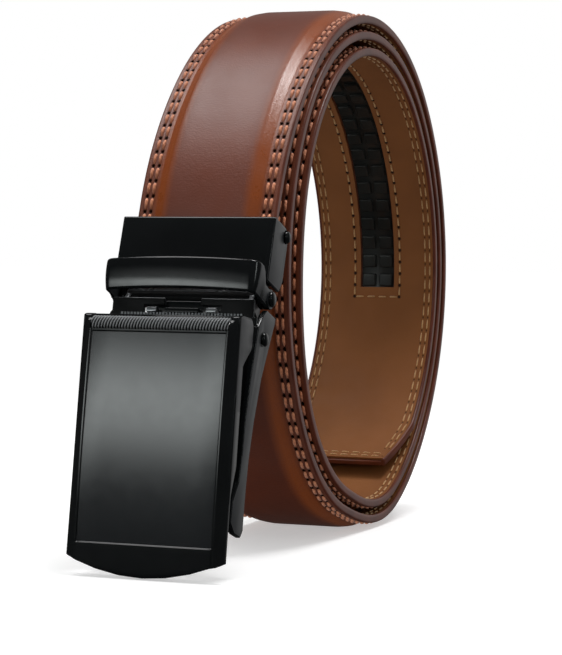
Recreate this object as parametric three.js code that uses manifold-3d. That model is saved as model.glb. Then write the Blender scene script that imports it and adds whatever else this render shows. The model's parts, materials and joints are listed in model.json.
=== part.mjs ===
// Ratchet belt, 35 mm wide, rolled into an upright coil with its buckle hanging at the front.
// Millimetres. X runs across the strap, the buckle's face looks along -Y, +Z is up.
// The origin lies on the surface that the belt stands on, under the middle of its box.

import * as THREE from 'three';
import { mergeVertices } from 'three/addons/utils/BufferGeometryUtils.js';
import Module from 'manifold-3d';

const wasm = await Module();
wasm.setup();

const DEGREE = Math.PI / 180;

// Strap and lining
const STRAP_WIDTH = 35;
const STRAP_THICKNESS = 3.7;
const EDGE_THICKNESS = 2.2;
const LINING_THICKNESS = 1.0;
const LINING_INSET = 0.35;
const MARGIN_WIDTH = 4.2;
const SHOULDER_WIDTH = 2.0;
const CROWN_WIDTH = 20;
const TIP_CHAMFER_LENGTH = 17;
const TIP_CHAMFER_INSET = 3.8;
const FIT_GAP = 0.3;

// Coil: the radius that the shares below follow, and where along it the belt begins and ends
const COIL_RADIUS = 60;
const LAYER_GAP = 0.3;
const MOUTH_TURN = 0.04;
const TIP_TURN = 2.672;
const STEP_DELAY = 0.012;
const STEP_TURNS = 0.11;
const STATION_LENGTH = 6.6;

// Ratchet track sewn into the lining
const TRACK_WIDTH = 9.6;
const TRACK_LENGTH = 214;
const TRACK_TO_TIP = 61;
const TRACK_BASE = 0.5;
const TOOTH_PITCH = 5.5;
const TOOTH_LENGTH = 3.6;
const TOOTH_HEIGHT = 0.9;
const TOOTH_WIDTH = 3.9;
const TOOTH_GROOVE = 1.1;

// Buckle, as a whole
const BUCKLE_WIDTH = 38.4;
const SIDE_WALL = 1.3;
const PLATE_THICKNESS = 1.4;
const PIN_CLEARANCE = 0.25;
const ROUND_SIDES = 16;
const HEAD_RISE = 0.8;

// Clamp that grips the cut end of the strap
const CLAMP_TOP = 4.6;
const CLAMP_LENGTH = 15.8;
const CLAMP_FRONT_SPACE = 1.2;
const CLAMP_DEPTH = 9.8;
const CLAMP_CORNER = 3;
const GRIP_LENGTH = 16.6;
const JAW_PIN_RADIUS = 0.9;
const JAW_PIN_HEAD = 1.5;
const JAW_PLATE = 1.5;
const JAW_BARREL = 1.35;

// Hinge between the clamp, the keeper loop and the frame
const HINGE_DROP = 3.1;
const HINGE_OUT = 2.5;
const HINGE_PIN_RADIUS = 1.1;
const HINGE_PIN_HEAD = 1.85;
const EYE_RADIUS = 2.4;
const LUG_THICKNESS = 1.2;

// Keeper loop
const LOOP_REACH = 12.2;
const LOOP_BAR_WIDTH = 7;
const LOOP_BOW = 1.6;
const LOOP_CORNER = 2.6;
const LOOP_BAR_DROP = 1.9;
const LOOP_ARM_CORNER = 1.2;

// Frame
const FRAME_LENGTH = 52.6;
const FRAME_BOW = 3.4;
const WEB_THICKNESS = 1.2;
const WEB_TO_END = 1.4;
const LIP_HEIGHT = 1.8;
const WEB_TOP_OUT = 5.9;
const WEB_BOTTOM_OUT = -1.1;
const NOTCH_WIDTH = 8.8;
const WINDOW_WIDTH = 19;
const WINDOW_HEIGHT = 3.6;
const PAWL_PIN_DROP = 10;
const PAWL_PIN_OUT = 1.2;
const PAWL_PIN_RADIUS = 1.0;
const PAWL_PIN_HEAD = 1.65;
const PAWL_BARREL = 2.1;
const PAWL_WIDTH = 28;
const PAWL_PLATE = 1.1;
const TAB_WIDTH = 2.6;
const TAB_SPACING = 14.8;

// Lid, hinged near the frame's lower end and shown lifted
const LID_LIFT = 10.7;
const LID_TOP = 44.7;
const LID_CORNER_DROP = 10;
const LID_TIP_DROP = 14.4;
const LID_FACE = 5.0;
const LID_PLATE = 1.9;
const LID_BEVEL = 2.4;
const LID_BEVEL_DROP = 2;
const LID_WALL_DEPTH = 3.2;
const LID_TIP_DEPTH = 1.0;
const PANEL_TOP = 40.4;
const PANEL_DROP = 7.1;
const PANEL_RECESS = 0.35;
const PANEL_WIDTH = 32.6;
const EAR_LENGTH = 11;
const EAR_DEPTH = 8.1;
const ROLL_RADIUS = 1.5;
const ROLL_LENGTH = 33.6;
const ROLL_SINK = 0.8;
const RIDGE_COUNT = 46;
const RIDGE_RISE = 0.25;
const RIDGE_WIDTH = 0.36;
const RIDGE_SLANT = 28;
const LID_PIN_TO_END = 3.1;
const LID_PIN_OUT = 4.9;
const LID_PIN_RADIUS = 0.7;
const LID_LUG_RADIUS = 1.6;
const LID_LUG_THICKNESS = 2;

// Values that follow from the sizes above
const HALF_STRAP = STRAP_WIDTH / 2;
const HALF_BUCKLE = BUCKLE_WIDTH / 2;
const HALF_INSIDE = HALF_BUCKLE - SIDE_WALL;
const LAYER_PITCH = STRAP_THICKNESS + LAYER_GAP;
const LEATHER_START = LINING_THICKNESS + FIT_GAP;
const CLAMP_BOTTOM = CLAMP_TOP + CLAMP_LENGTH;
const CLAMP_FACE = STRAP_THICKNESS + CLAMP_FRONT_SPACE + PLATE_THICKNESS;
const CLAMP_BACK = CLAMP_FACE - CLAMP_DEPTH;
const HINGE_DOWN = CLAMP_BOTTOM + HINGE_DROP;
const JAW_DOWN = CLAMP_TOP + CLAMP_CORNER * 0.75;
const JAW_OUT = -FIT_GAP - JAW_BARREL;
const FRAME_TOP = EYE_RADIUS + 2 * FIT_GAP;
const FRAME_LUG_INNER = HALF_INSIDE - 2 * FIT_GAP - 2 * LUG_THICKNESS;
const WEB_TOP = EYE_RADIUS - 0.5;
const WEB_WIDE_TOP = FRAME_TOP + FIT_GAP + WEB_THICKNESS * 2.25;
const WEB_BOTTOM = FRAME_TOP + FRAME_LENGTH - WEB_TO_END;
const LID_PIN_DROP = FRAME_TOP + FRAME_LENGTH - LID_PIN_TO_END;
const WINDOW_TOP = WEB_TOP + LIP_HEIGHT;

// The coil's form at every eighth of a turn from the front, going up: the distance from the
// axis to the lining, as a share of COIL_RADIUS, before the layers that lie under it are added
const COIL_FORM = [
  { turn: 0.000, reach: 1.052 },
  { turn: 0.125, reach: 0.984 },
  { turn: 0.250, reach: 0.987 },
  { turn: 0.375, reach: 1.016 },
  { turn: 0.500, reach: 1.032 },
  { turn: 0.625, reach: 0.966 },
  { turn: 0.750, reach: 0.932 },
  { turn: 0.875, reach: 0.930 },
  { turn: 1.000, reach: 0.930 },
  { turn: 1.125, reach: 0.974 },
  { turn: 1.250, reach: 0.985 },
  { turn: 1.375, reach: 1.011 },
  { turn: 1.500, reach: 1.021 },
  { turn: 1.625, reach: 0.958 },
  { turn: 1.750, reach: 0.928 },
  { turn: 1.875, reach: 0.898 },
  { turn: 2.000, reach: 0.857 },
  { turn: 2.125, reach: 0.925 },
  { turn: 2.250, reach: 0.983 },
  { turn: 2.375, reach: 1.006 },
  { turn: 2.500, reach: 1.010 },
  { turn: 2.625, reach: 0.946 },
  { turn: 2.750, reach: 0.900 }
];

function eased(value) {
  const share = THREE.MathUtils.clamp(value, 0, 1);
  return share * share * (3 - 2 * share);
}

function formAt(turn) {
  const spacing = COIL_FORM[1].turn - COIL_FORM[0].turn;
  const place = THREE.MathUtils.clamp((turn - COIL_FORM[0].turn) / spacing, 0, COIL_FORM.length - 1.001);
  const row = Math.floor(place);
  const share = place - row;
  const reachOf = (index) => COIL_FORM[THREE.MathUtils.clamp(index, 0, COIL_FORM.length - 1)].reach;
  const before = reachOf(row - 1);
  const start = reachOf(row);
  const end = reachOf(row + 1);
  const after = reachOf(row + 2);
  const slopeStart = (end - before) / 2;
  const slopeEnd = (after - start) / 2;
  const bend = 2 * (start - end) + slopeStart + slopeEnd;
  const lean = 3 * (end - start) - 2 * slopeStart - slopeEnd;
  return ((bend * share + lean) * share + slopeStart) * share + start;
}

// How many layers of strap lie between this place and the coil's inside
function layersUnder(turn) {
  let layers = 0;
  for (let earlier = 1; earlier < TIP_TURN; earlier += 1) {
    layers += 1 - eased((turn - (TIP_TURN - earlier) - STEP_DELAY) / STEP_TURNS);
  }
  return layers;
}

class CoilCurve extends THREE.Curve {
  getPoint(share, target = new THREE.Vector3()) {
    const turn = MOUTH_TURN + share * (TIP_TURN - MOUTH_TURN);
    const radius = COIL_RADIUS * formAt(turn) + LAYER_PITCH * layersUnder(turn);
    const angle = turn * 2 * Math.PI;
    return target.set(0, -radius * Math.cos(angle), radius * Math.sin(angle));
  }
}

const coil = new CoilCurve();
coil.arcLengthDivisions = 3000;
const COIL_LENGTH = coil.getLength();
const mouthPoint = coil.getPointAt(0);
const mouthTangent = coil.getTangentAt(0);

// Place of a point of the flat belt on the coil: x across, height out from the lining's face,
// and distance along from the clamp's mouth, which is below zero inside the clamp
function placeOnCoil(x, height, distance) {
  const inClamp = distance < 0;
  const share = THREE.MathUtils.clamp(distance / COIL_LENGTH, 0, 1);
  const tangent = inClamp ? mouthTangent : coil.getTangentAt(share);
  const point = inClamp ? mouthPoint.clone() : coil.getPointAt(share);
  if (inClamp) {
    point.addScaledVector(tangent, distance);
  }
  const outward = new THREE.Vector3(0, -tangent.z, tangent.y);
  const past = distance - COIL_LENGTH;
  const chamfer = THREE.MathUtils.clamp((past + TIP_CHAMFER_LENGTH) / TIP_CHAMFER_LENGTH, 0, 1);
  const narrowing = 1 - chamfer * TIP_CHAMFER_INSET / HALF_STRAP;
  return point.addScaledVector(outward, height).setX(-x * narrowing);
}

function rollUp(geometry) {
  const place = geometry.attributes.position;
  for (let index = 0; index < place.count; index += 1) {
    const rolled = placeOnCoil(place.getX(index), place.getY(index), place.getZ(index));
    place.setXYZ(index, rolled.x, rolled.y, rolled.z);
  }
  return geometry;
}

function toSolid(geometry) {
  const bare = geometry.clone();
  bare.deleteAttribute('normal');
  bare.deleteAttribute('uv');
  const merged = mergeVertices(bare, 1e-4);
  return new wasm.Manifold(new wasm.Mesh({
    numProp: 3,
    vertProperties: new Float32Array(merged.attributes.position.array),
    triVerts: new Uint32Array(merged.index.array)
  }));
}

function toGeometry(solid) {
  const mesh = solid.getMesh();
  const geometry = new THREE.BufferGeometry();
  geometry.setAttribute('position', new THREE.BufferAttribute(new Float32Array(mesh.vertProperties), 3));
  geometry.setIndex(new THREE.BufferAttribute(new Uint32Array(mesh.triVerts), 1));
  const faceted = geometry.toNonIndexed();
  faceted.computeVertexNormals();
  return faceted;
}

function joined(solids) {
  return solids.reduce((whole, next) => whole.add(next));
}

// A flat strip of the belt with the given cross-section outline, from one distance to another
function strip(outline, from, to) {
  const steps = Math.max(1, Math.ceil((to - from) / STATION_LENGTH));
  const geometry = new THREE.ExtrudeGeometry(new THREE.Shape(outline), {
    depth: to - from,
    steps,
    bevelEnabled: false
  });
  geometry.translate(0, 0, from);
  return rollUp(geometry);
}

function rectangle(width, low, high) {
  return [
    new THREE.Vector2(-width / 2, low),
    new THREE.Vector2(width / 2, low),
    new THREE.Vector2(width / 2, high),
    new THREE.Vector2(-width / 2, high)
  ];
}

// Outer leather over its padding: flat stitched margins, sloping shoulders and a low crown
function strapOutline() {
  const shoulderFoot = HALF_STRAP - MARGIN_WIDTH;
  const shoulderTop = shoulderFoot - SHOULDER_WIDTH;
  const shoulderHeight = THREE.MathUtils.lerp(EDGE_THICKNESS, STRAP_THICKNESS, 0.78);
  const right = [
    new THREE.Vector2(HALF_STRAP, LEATHER_START),
    new THREE.Vector2(HALF_STRAP, EDGE_THICKNESS),
    new THREE.Vector2(shoulderFoot, EDGE_THICKNESS),
    new THREE.Vector2(shoulderTop, shoulderHeight),
    new THREE.Vector2(CROWN_WIDTH / 2 - SHOULDER_WIDTH, STRAP_THICKNESS)
  ];
  const left = right.map((point) => new THREE.Vector2(-point.x, point.y)).reverse();
  return [...right, ...left];
}

function makeStrap() {
  return toSolid(strip(strapOutline(), -GRIP_LENGTH, COIL_LENGTH));
}

const TRACK_END = COIL_LENGTH - TRACK_TO_TIP;
const TRACK_START = TRACK_END - TRACK_LENGTH;

function makeLining() {
  const sheet = strip(rectangle(STRAP_WIDTH - 2 * LINING_INSET, 0, LINING_THICKNESS),
    -GRIP_LENGTH, COIL_LENGTH - LINING_INSET);
  const slot = strip(rectangle(TRACK_WIDTH + 2 * FIT_GAP, -LINING_THICKNESS, LINING_THICKNESS + FIT_GAP / 2),
    TRACK_START - FIT_GAP, TRACK_END + FIT_GAP);
  return toSolid(sheet).subtract(toSolid(slot));
}

function makeTrack() {
  const outerFace = LINING_THICKNESS;
  const toothFoot = outerFace - TRACK_BASE;
  const pieces = [toSolid(strip(rectangle(TRACK_WIDTH, toothFoot, outerFace), TRACK_START, TRACK_END))];
  const rows = Math.floor((TRACK_LENGTH - TOOTH_LENGTH) / TOOTH_PITCH) + 1;
  for (let row = 0; row < rows; row += 1) {
    const middle = TRACK_END - TOOTH_LENGTH / 2 - FIT_GAP - row * TOOTH_PITCH;
    for (const side of [-1, 1]) {
      const tooth = new THREE.BoxGeometry(TOOTH_WIDTH, TOOTH_HEIGHT + TRACK_BASE / 2, TOOTH_LENGTH);
      tooth.translate(side * (TOOTH_WIDTH + TOOTH_GROOVE) / 2,
        toothFoot + TRACK_BASE / 4 - TOOTH_HEIGHT / 2, middle);
      pieces.push(toSolid(rollUp(tooth)));
    }
  }
  return joined(pieces);
}

// Buckle pieces are drawn from the side, in distances down the belt and out from it,
// and extruded across. In this view down is -Z and out is -Y.
const SIDE_VIEW = new THREE.Matrix4().makeBasis(
  new THREE.Vector3(0, 1, 0), new THREE.Vector3(0, 0, 1), new THREE.Vector3(1, 0, 0));

function sideShape(corners) {
  return new THREE.Shape(corners.map(([down, out]) => new THREE.Vector2(-out, -down)));
}

function across(shape, from, to) {
  const geometry = new THREE.ExtrudeGeometry(shape, {
    depth: to - from,
    bevelEnabled: false,
    curveSegments: 6
  });
  geometry.translate(0, 0, from);
  geometry.applyMatrix4(SIDE_VIEW);
  return toSolid(geometry);
}

function sideSlab(corners, from, to) {
  return across(sideShape(corners), from, to);
}

function bothSides(corners, from, to) {
  return sideSlab(corners, from, to).add(sideSlab(corners, -to, -from));
}

function roundAcross(down, out, radius, from, to) {
  const rod = new THREE.CylinderGeometry(radius, radius, to - from, ROUND_SIDES);
  rod.rotateZ(Math.PI / 2);
  rod.translate((from + to) / 2, -out, -down);
  return toSolid(rod);
}

function roundBothSides(down, out, radius, from, to) {
  return roundAcross(down, out, radius, from, to).add(roundAcross(down, out, radius, -to, -from));
}

function boxAt(width, downFrom, downTo, outFrom, outTo, middle = 0) {
  const box = new THREE.BoxGeometry(width, outTo - outFrom, downTo - downFrom);
  box.translate(middle, -(outFrom + outTo) / 2, -(downFrom + downTo) / 2);
  return toSolid(box);
}

// A rivet right across the buckle, its domed heads just outside the side walls
function rivet(down, out, radius, headRadius) {
  const seat = HALF_BUCKLE + FIT_GAP;
  const half = [
    new THREE.Vector2(radius, seat),
    new THREE.Vector2(headRadius, seat),
    new THREE.Vector2(headRadius * 0.75, seat + HEAD_RISE * 0.7),
    new THREE.Vector2(0, seat + HEAD_RISE)
  ];
  const mirrored = half.map((point) => new THREE.Vector2(point.x, -point.y)).reverse();
  const pin = new THREE.LatheGeometry([...mirrored, ...half], ROUND_SIDES);
  pin.rotateZ(-Math.PI / 2);
  pin.translate(0, -out, -down);
  return toSolid(pin);
}

// Clamp: a front plate and two side walls round the strap's end, with lugs for the hinge
function makeClampBox() {
  const corner = new THREE.Shape();
  corner.moveTo(-CLAMP_FACE, -CLAMP_TOP);
  corner.lineTo(-CLAMP_FACE, -CLAMP_BOTTOM);
  corner.lineTo(-CLAMP_BACK - CLAMP_CORNER / 2, -CLAMP_BOTTOM);
  corner.lineTo(-CLAMP_BACK, -CLAMP_BOTTOM + CLAMP_CORNER);
  corner.lineTo(-CLAMP_BACK, -CLAMP_TOP - CLAMP_CORNER);
  corner.absarc(-CLAMP_BACK - CLAMP_CORNER, -CLAMP_TOP - CLAMP_CORNER, CLAMP_CORNER, 0, Math.PI / 2, false);
  const outside = across(corner, -HALF_BUCKLE, HALF_BUCKLE);
  const inside = boxAt(2 * HALF_INSIDE, CLAMP_TOP - 1, CLAMP_BOTTOM + 1,
    CLAMP_BACK - 1, CLAMP_FACE - PLATE_THICKNESS);
  const lugOuter = HALF_INSIDE - FIT_GAP;
  const lugInner = lugOuter - LUG_THICKNESS;
  const bridge = bothSides([
    [GRIP_LENGTH + 2 * FIT_GAP, HINGE_OUT - EYE_RADIUS],
    [GRIP_LENGTH + 2 * FIT_GAP, CLAMP_FACE - PLATE_THICKNESS / 2],
    [CLAMP_BOTTOM, CLAMP_FACE - PLATE_THICKNESS / 2],
    [CLAMP_BOTTOM, HINGE_OUT - EYE_RADIUS]
  ], lugInner, HALF_BUCKLE - SIDE_WALL / 2);
  const lug = bothSides([
    [CLAMP_BOTTOM - 1, HINGE_OUT - EYE_RADIUS],
    [CLAMP_BOTTOM - 1, HINGE_OUT + EYE_RADIUS],
    [HINGE_DOWN, HINGE_OUT + EYE_RADIUS],
    [HINGE_DOWN, HINGE_OUT - EYE_RADIUS]
  ], lugInner, lugOuter);
  const eyes = roundBothSides(HINGE_DOWN, HINGE_OUT, EYE_RADIUS, lugInner, lugOuter);
  const jawHole = roundAcross(JAW_DOWN, JAW_OUT, JAW_PIN_RADIUS + PIN_CLEARANCE, -HALF_BUCKLE - 1, HALF_BUCKLE + 1);
  const hingeHole = roundAcross(HINGE_DOWN, HINGE_OUT, HINGE_PIN_RADIUS + PIN_CLEARANCE,
    -HALF_BUCKLE - 1, HALF_BUCKLE + 1);
  return outside.subtract(inside).add(bridge).add(lug).add(eyes).subtract(jawHole).subtract(hingeHole);
}

// Jaw: a flap behind the lining that presses the strap's end against the clamp's front plate
function makeClampJaw() {
  const half = HALF_INSIDE - 2 * FIT_GAP;
  const lipEnd = GRIP_LENGTH;
  const plate = sideSlab([
    [JAW_DOWN, -FIT_GAP],
    [lipEnd - JAW_PLATE, -FIT_GAP],
    [lipEnd, -FIT_GAP - JAW_PLATE],
    [lipEnd - 0.5, -FIT_GAP - 1.8 * JAW_PLATE],
    [lipEnd - 2 * JAW_PLATE, -FIT_GAP - JAW_PLATE],
    [JAW_DOWN, -FIT_GAP - JAW_PLATE]
  ], -half, half);
  const barrel = roundAcross(JAW_DOWN, JAW_OUT, JAW_BARREL, -half, half);
  const bore = roundAcross(JAW_DOWN, JAW_OUT, JAW_PIN_RADIUS + PIN_CLEARANCE, -half - 1, half + 1);
  return plate.add(barrel).subtract(bore);
}

function makeJawPin() {
  return rivet(JAW_DOWN, JAW_OUT, JAW_PIN_RADIUS, JAW_PIN_HEAD);
}

// From here on the pieces are drawn from the hinge, which they turn about
function makeHingePin() {
  return rivet(0, 0, HINGE_PIN_RADIUS, HINGE_PIN_HEAD);
}

// Keeper loop: a bowed bar in front of the clamp, its two arms bent back to the hinge pin.
// The bracket has the loop's outline from above, and the side view cuts its arms to shape.
function loopOutline(inset) {
  const side = HALF_BUCKLE - inset;
  const corner = LOOP_CORNER - inset;
  const cornerOut = LOOP_REACH - LOOP_BOW - inset;
  const shape = new THREE.Shape();
  shape.moveTo(-side, EYE_RADIUS);
  shape.lineTo(side, EYE_RADIUS);
  shape.lineTo(side, -cornerOut + corner);
  shape.absarc(side - corner, -cornerOut + corner, corner, 0, -Math.PI / 2, true);
  shape.quadraticCurveTo(0, -cornerOut - 2 * LOOP_BOW, corner - side, -cornerOut);
  shape.absarc(corner - side, -cornerOut + corner, corner, -Math.PI / 2, -Math.PI, true);
  return shape;
}

function downPrism(shape, from, to) {
  const prism = new THREE.ExtrudeGeometry(shape, { depth: to - from, bevelEnabled: false, curveSegments: 6 });
  prism.translate(0, 0, -to);
  return toSolid(prism);
}

function makeKeeperLoop() {
  const barTop = LOOP_BAR_DROP - LOOP_BAR_WIDTH;
  const armRoot = CLAMP_FACE - HINGE_OUT + 2 * FIT_GAP;
  const bracket = downPrism(loopOutline(0), barTop - 1, EYE_RADIUS + 1)
    .subtract(downPrism(loopOutline(SIDE_WALL), barTop - 2, EYE_RADIUS + 2));
  const side = sideSlab([
    [barTop, LOOP_REACH + 1],
    [LOOP_BAR_DROP, LOOP_REACH + 1],
    [LOOP_BAR_DROP, armRoot + LOOP_ARM_CORNER],
    [EYE_RADIUS * 0.9, EYE_RADIUS * 0.5],
    [-EYE_RADIUS * 0.85, EYE_RADIUS * 0.4],
    [2 * FIT_GAP - HINGE_DROP, armRoot],
    [barTop + LOOP_ARM_CORNER / 2, armRoot + LOOP_ARM_CORNER],
    [barTop, armRoot + 2 * LOOP_ARM_CORNER]
  ], -HALF_BUCKLE, HALF_BUCKLE);
  const eyes = roundBothSides(0, 0, EYE_RADIUS, HALF_INSIDE, HALF_BUCKLE);
  const hole = roundAcross(0, 0, HINGE_PIN_RADIUS + PIN_CLEARANCE, -HALF_BUCKLE - 1, HALF_BUCKLE + 1);
  return bracket.intersect(side).add(eyes).subtract(hole);
}

// The frame's sides from the hinge down: how far out the front and back edges lie,
// as shares of FRAME_BOW, at shares of FRAME_LENGTH
const FRAME_PROFILE = [
  { along: 0.00, front: 0.35, back: -1.38 },
  { along: 0.03, front: 0.88, back: -1.36 },
  { along: 0.10, front: 1.52, back: -1.06 },
  { along: 0.30, front: 1.66, back: -0.26 },
  { along: 0.50, front: 1.62, back: 0.03 },
  { along: 0.66, front: 1.34, back: 0.03 },
  { along: 0.78, front: 1.28, back: -0.14 },
  { along: 0.87, front: 1.86, back: -0.34 },
  { along: 0.965, front: 1.80, back: -0.60 },
  { along: 1.00, front: 0.90, back: -0.30 }
];

function frameEdge(column) {
  return FRAME_PROFILE.map((row) => [FRAME_TOP + row.along * FRAME_LENGTH, row[column] * FRAME_BOW]);
}

// How far out the front of the frame's sloping web lies
function webOut(down) {
  const share = (down - WEB_TOP) / (WEB_BOTTOM - WEB_TOP);
  return THREE.MathUtils.lerp(WEB_TOP_OUT, WEB_BOTTOM_OUT, share);
}

function webSlab(from, to, half) {
  return sideSlab([
    [from, webOut(from)],
    [to, webOut(to)],
    [to, webOut(to) - WEB_THICKNESS],
    [from, webOut(from) - WEB_THICKNESS]
  ], -half, half);
}

// Frame: two side walls with a sloping web between them, which the belt's free end slides up
function makeFrame() {
  const walls = bothSides([...frameEdge('front'), ...frameEdge('back').reverse()], HALF_INSIDE, HALF_BUCKLE);
  const web = webSlab(WEB_WIDE_TOP, WEB_BOTTOM, HALF_BUCKLE - SIDE_WALL / 2);
  const lip = webSlab(WEB_TOP, WEB_WIDE_TOP + FIT_GAP, HALF_INSIDE - FIT_GAP);
  const lugEnd = PAWL_PIN_DROP - PAWL_PIN_RADIUS - 3 * FIT_GAP;
  const lug = bothSides([
    [0, -EYE_RADIUS],
    [0, EYE_RADIUS],
    [FRAME_TOP, webOut(FRAME_TOP) - WEB_THICKNESS / 2],
    [lugEnd, webOut(lugEnd) - WEB_THICKNESS / 2],
    [lugEnd, -EYE_RADIUS / 2]
  ], FRAME_LUG_INNER, FRAME_LUG_INNER + LUG_THICKNESS);
  const barrelHalf = FRAME_LUG_INNER + LUG_THICKNESS;
  const barrel = roundAcross(0, 0, EYE_RADIUS, -barrelHalf, barrelHalf);
  const windowBottom = WINDOW_TOP + WINDOW_HEIGHT;
  const behind = webOut(windowBottom) - 2 * WEB_THICKNESS;
  const notch = boxAt(NOTCH_WIDTH, 0, WINDOW_TOP + FIT_GAP, behind, 3 * FRAME_BOW);
  const slot = boxAt(WINDOW_WIDTH, WINDOW_TOP, windowBottom, behind, 3 * FRAME_BOW);
  const through = HALF_BUCKLE + 1;
  const blind = HALF_BUCKLE - SIDE_WALL / 2;
  const hingeHole = roundAcross(0, 0, HINGE_PIN_RADIUS + PIN_CLEARANCE, -through, through);
  const pawlHole = roundAcross(PAWL_PIN_DROP, PAWL_PIN_OUT, PAWL_PIN_RADIUS + PIN_CLEARANCE, -through, through);
  const lidHole = roundAcross(LID_PIN_DROP, LID_PIN_OUT, LID_PIN_RADIUS + PIN_CLEARANCE, -blind, blind);
  return joined([walls, web, lip, lug, barrel])
    .subtract(notch).subtract(slot).subtract(hingeHole).subtract(pawlHole).subtract(lidHole);
}

function makePawlPin() {
  return rivet(PAWL_PIN_DROP, PAWL_PIN_OUT, PAWL_PIN_RADIUS, PAWL_PIN_HEAD);
}

// Pawl: a plate on its pin, whose nose and two tabs reach out through the window in the web
function makePawl() {
  const half = PAWL_WIDTH / 2;
  const plateHalf = WINDOW_WIDTH / 2 - FIT_GAP;
  const barrel = roundAcross(PAWL_PIN_DROP, PAWL_PIN_OUT, PAWL_BARREL, -half, half);
  const noseTop = WINDOW_TOP + 2 * FIT_GAP;
  const noseEnd = noseTop + PAWL_PLATE;
  const behindWeb = webOut(noseEnd) - WEB_THICKNESS - FIT_GAP;
  const plateTop = WEB_TOP + FIT_GAP;
  const plateOut = webOut(plateTop) - WEB_THICKNESS - FIT_GAP;
  const noseOut = webOut(noseTop) + FIT_GAP;
  const plate = sideSlab([
    [PAWL_PIN_DROP, PAWL_PIN_OUT],
    [PAWL_PIN_DROP - PAWL_BARREL * 0.9, PAWL_PIN_OUT + PAWL_BARREL * 0.9],
    [noseEnd, behindWeb],
    [plateTop, plateOut],
    [plateTop, plateOut - PAWL_PLATE],
    [PAWL_PIN_DROP - PAWL_BARREL, PAWL_PIN_OUT]
  ], -plateHalf, plateHalf);
  const nose = boxAt(NOTCH_WIDTH - 2 * FIT_GAP, noseTop, noseEnd, behindWeb - PAWL_PLATE / 2, noseOut);
  const tabs = [-1, 1].map((side) => boxAt(TAB_WIDTH, noseTop, noseEnd,
    behindWeb - PAWL_PLATE / 2, noseOut + FIT_GAP, side * TAB_SPACING / 2));
  const bore = roundAcross(PAWL_PIN_DROP, PAWL_PIN_OUT, PAWL_PIN_RADIUS + PIN_CLEARANCE, -half - 1, half + 1);
  return joined([barrel, plate, nose, ...tabs]).subtract(bore);
}

// The lid's pin ends inside the frame's walls, out of sight
function makeLidPin() {
  const half = HALF_BUCKLE - SIDE_WALL / 2 - FIT_GAP;
  return roundAcross(LID_PIN_DROP, LID_PIN_OUT, LID_PIN_RADIUS, -half, half);
}

// From here on the pieces are drawn from the lid's own pin, with the lid's face upright.
// The block has the lid's outline from the front, a curved lower end and a bevel all round.
function lidBlock() {
  const crest = HALF_BUCKLE - LID_BEVEL;
  const corner = LID_CORNER_DROP - LID_BEVEL;
  const tip = LID_TIP_DROP - LID_BEVEL;
  const outline = new THREE.Shape();
  outline.moveTo(-crest, LID_TOP - LID_BEVEL);
  outline.lineTo(-crest, -corner);
  outline.quadraticCurveTo(0, corner - 2 * tip, crest, -corner);
  outline.lineTo(crest, LID_TOP - LID_BEVEL);
  const behind = 2 * EAR_DEPTH;
  const block = new THREE.ExtrudeGeometry(outline, {
    depth: behind + LID_FACE - LID_BEVEL_DROP,
    bevelEnabled: true,
    bevelThickness: LID_BEVEL_DROP,
    bevelSize: LID_BEVEL,
    bevelSegments: 1,
    curveSegments: 12
  });
  block.rotateX(Math.PI / 2);
  block.translate(0, behind, 0);
  return toSolid(block);
}

// The ears behind the lid's upper corners: how far below the lid's top, as shares of
// EAR_LENGTH, and how deep, as shares of EAR_DEPTH
const EAR_PROFILE = [
  { below: 0.80, depth: 0.68 },
  { below: 0.64, depth: 0.94 },
  { below: 0.45, depth: 1.00 },
  { below: 0.18, depth: 1.00 },
  { below: 0.05, depth: 0.91 },
  { below: -0.05, depth: 0.73 }
];

// The lid seen from the side: shallow walls, an ear at the top and a thin lower end
function lidSide() {
  const edge = LID_FACE - LID_BEVEL_DROP;
  const wall = edge - LID_WALL_DEPTH;
  const thin = edge - LID_TIP_DEPTH;
  return sideSlab([
    [LID_TIP_DROP + 1, LID_FACE + 1],
    [LID_TIP_DROP + 1, thin],
    [-LID_LUG_RADIUS * 3, thin],
    [-LID_LUG_RADIUS * 7, wall],
    [EAR_LENGTH - LID_TOP, wall],
    ...EAR_PROFILE.map((row) => [row.below * EAR_LENGTH - LID_TOP, edge - row.depth * EAR_DEPTH]),
    [-LID_TOP - 1, LID_FACE + 1]
  ], -HALF_BUCKLE - 1, HALF_BUCKLE + 1);
}

// Knurled roll along the lid's upper edge, by which it is lifted
function knurledRoll() {
  const down = ROLL_SINK + ROLL_RADIUS - LID_TOP;
  const out = LID_FACE - ROLL_RADIUS;
  const pieces = [roundAcross(down, out, ROLL_RADIUS, -ROLL_LENGTH / 2, ROLL_LENGTH / 2)];
  const spacing = (ROLL_LENGTH - 4 * RIDGE_WIDTH) / (RIDGE_COUNT - 1);
  for (let index = 0; index < RIDGE_COUNT; index += 1) {
    const ridge = new THREE.BoxGeometry(RIDGE_WIDTH, ROLL_RADIUS + RIDGE_RISE, ROLL_RADIUS * 1.3);
    ridge.rotateY(RIDGE_SLANT * DEGREE);
    ridge.translate((index - (RIDGE_COUNT - 1) / 2) * spacing, -out - (ROLL_RADIUS + RIDGE_RISE) / 2, -down);
    pieces.push(toSolid(ridge));
  }
  return joined(pieces);
}

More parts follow.
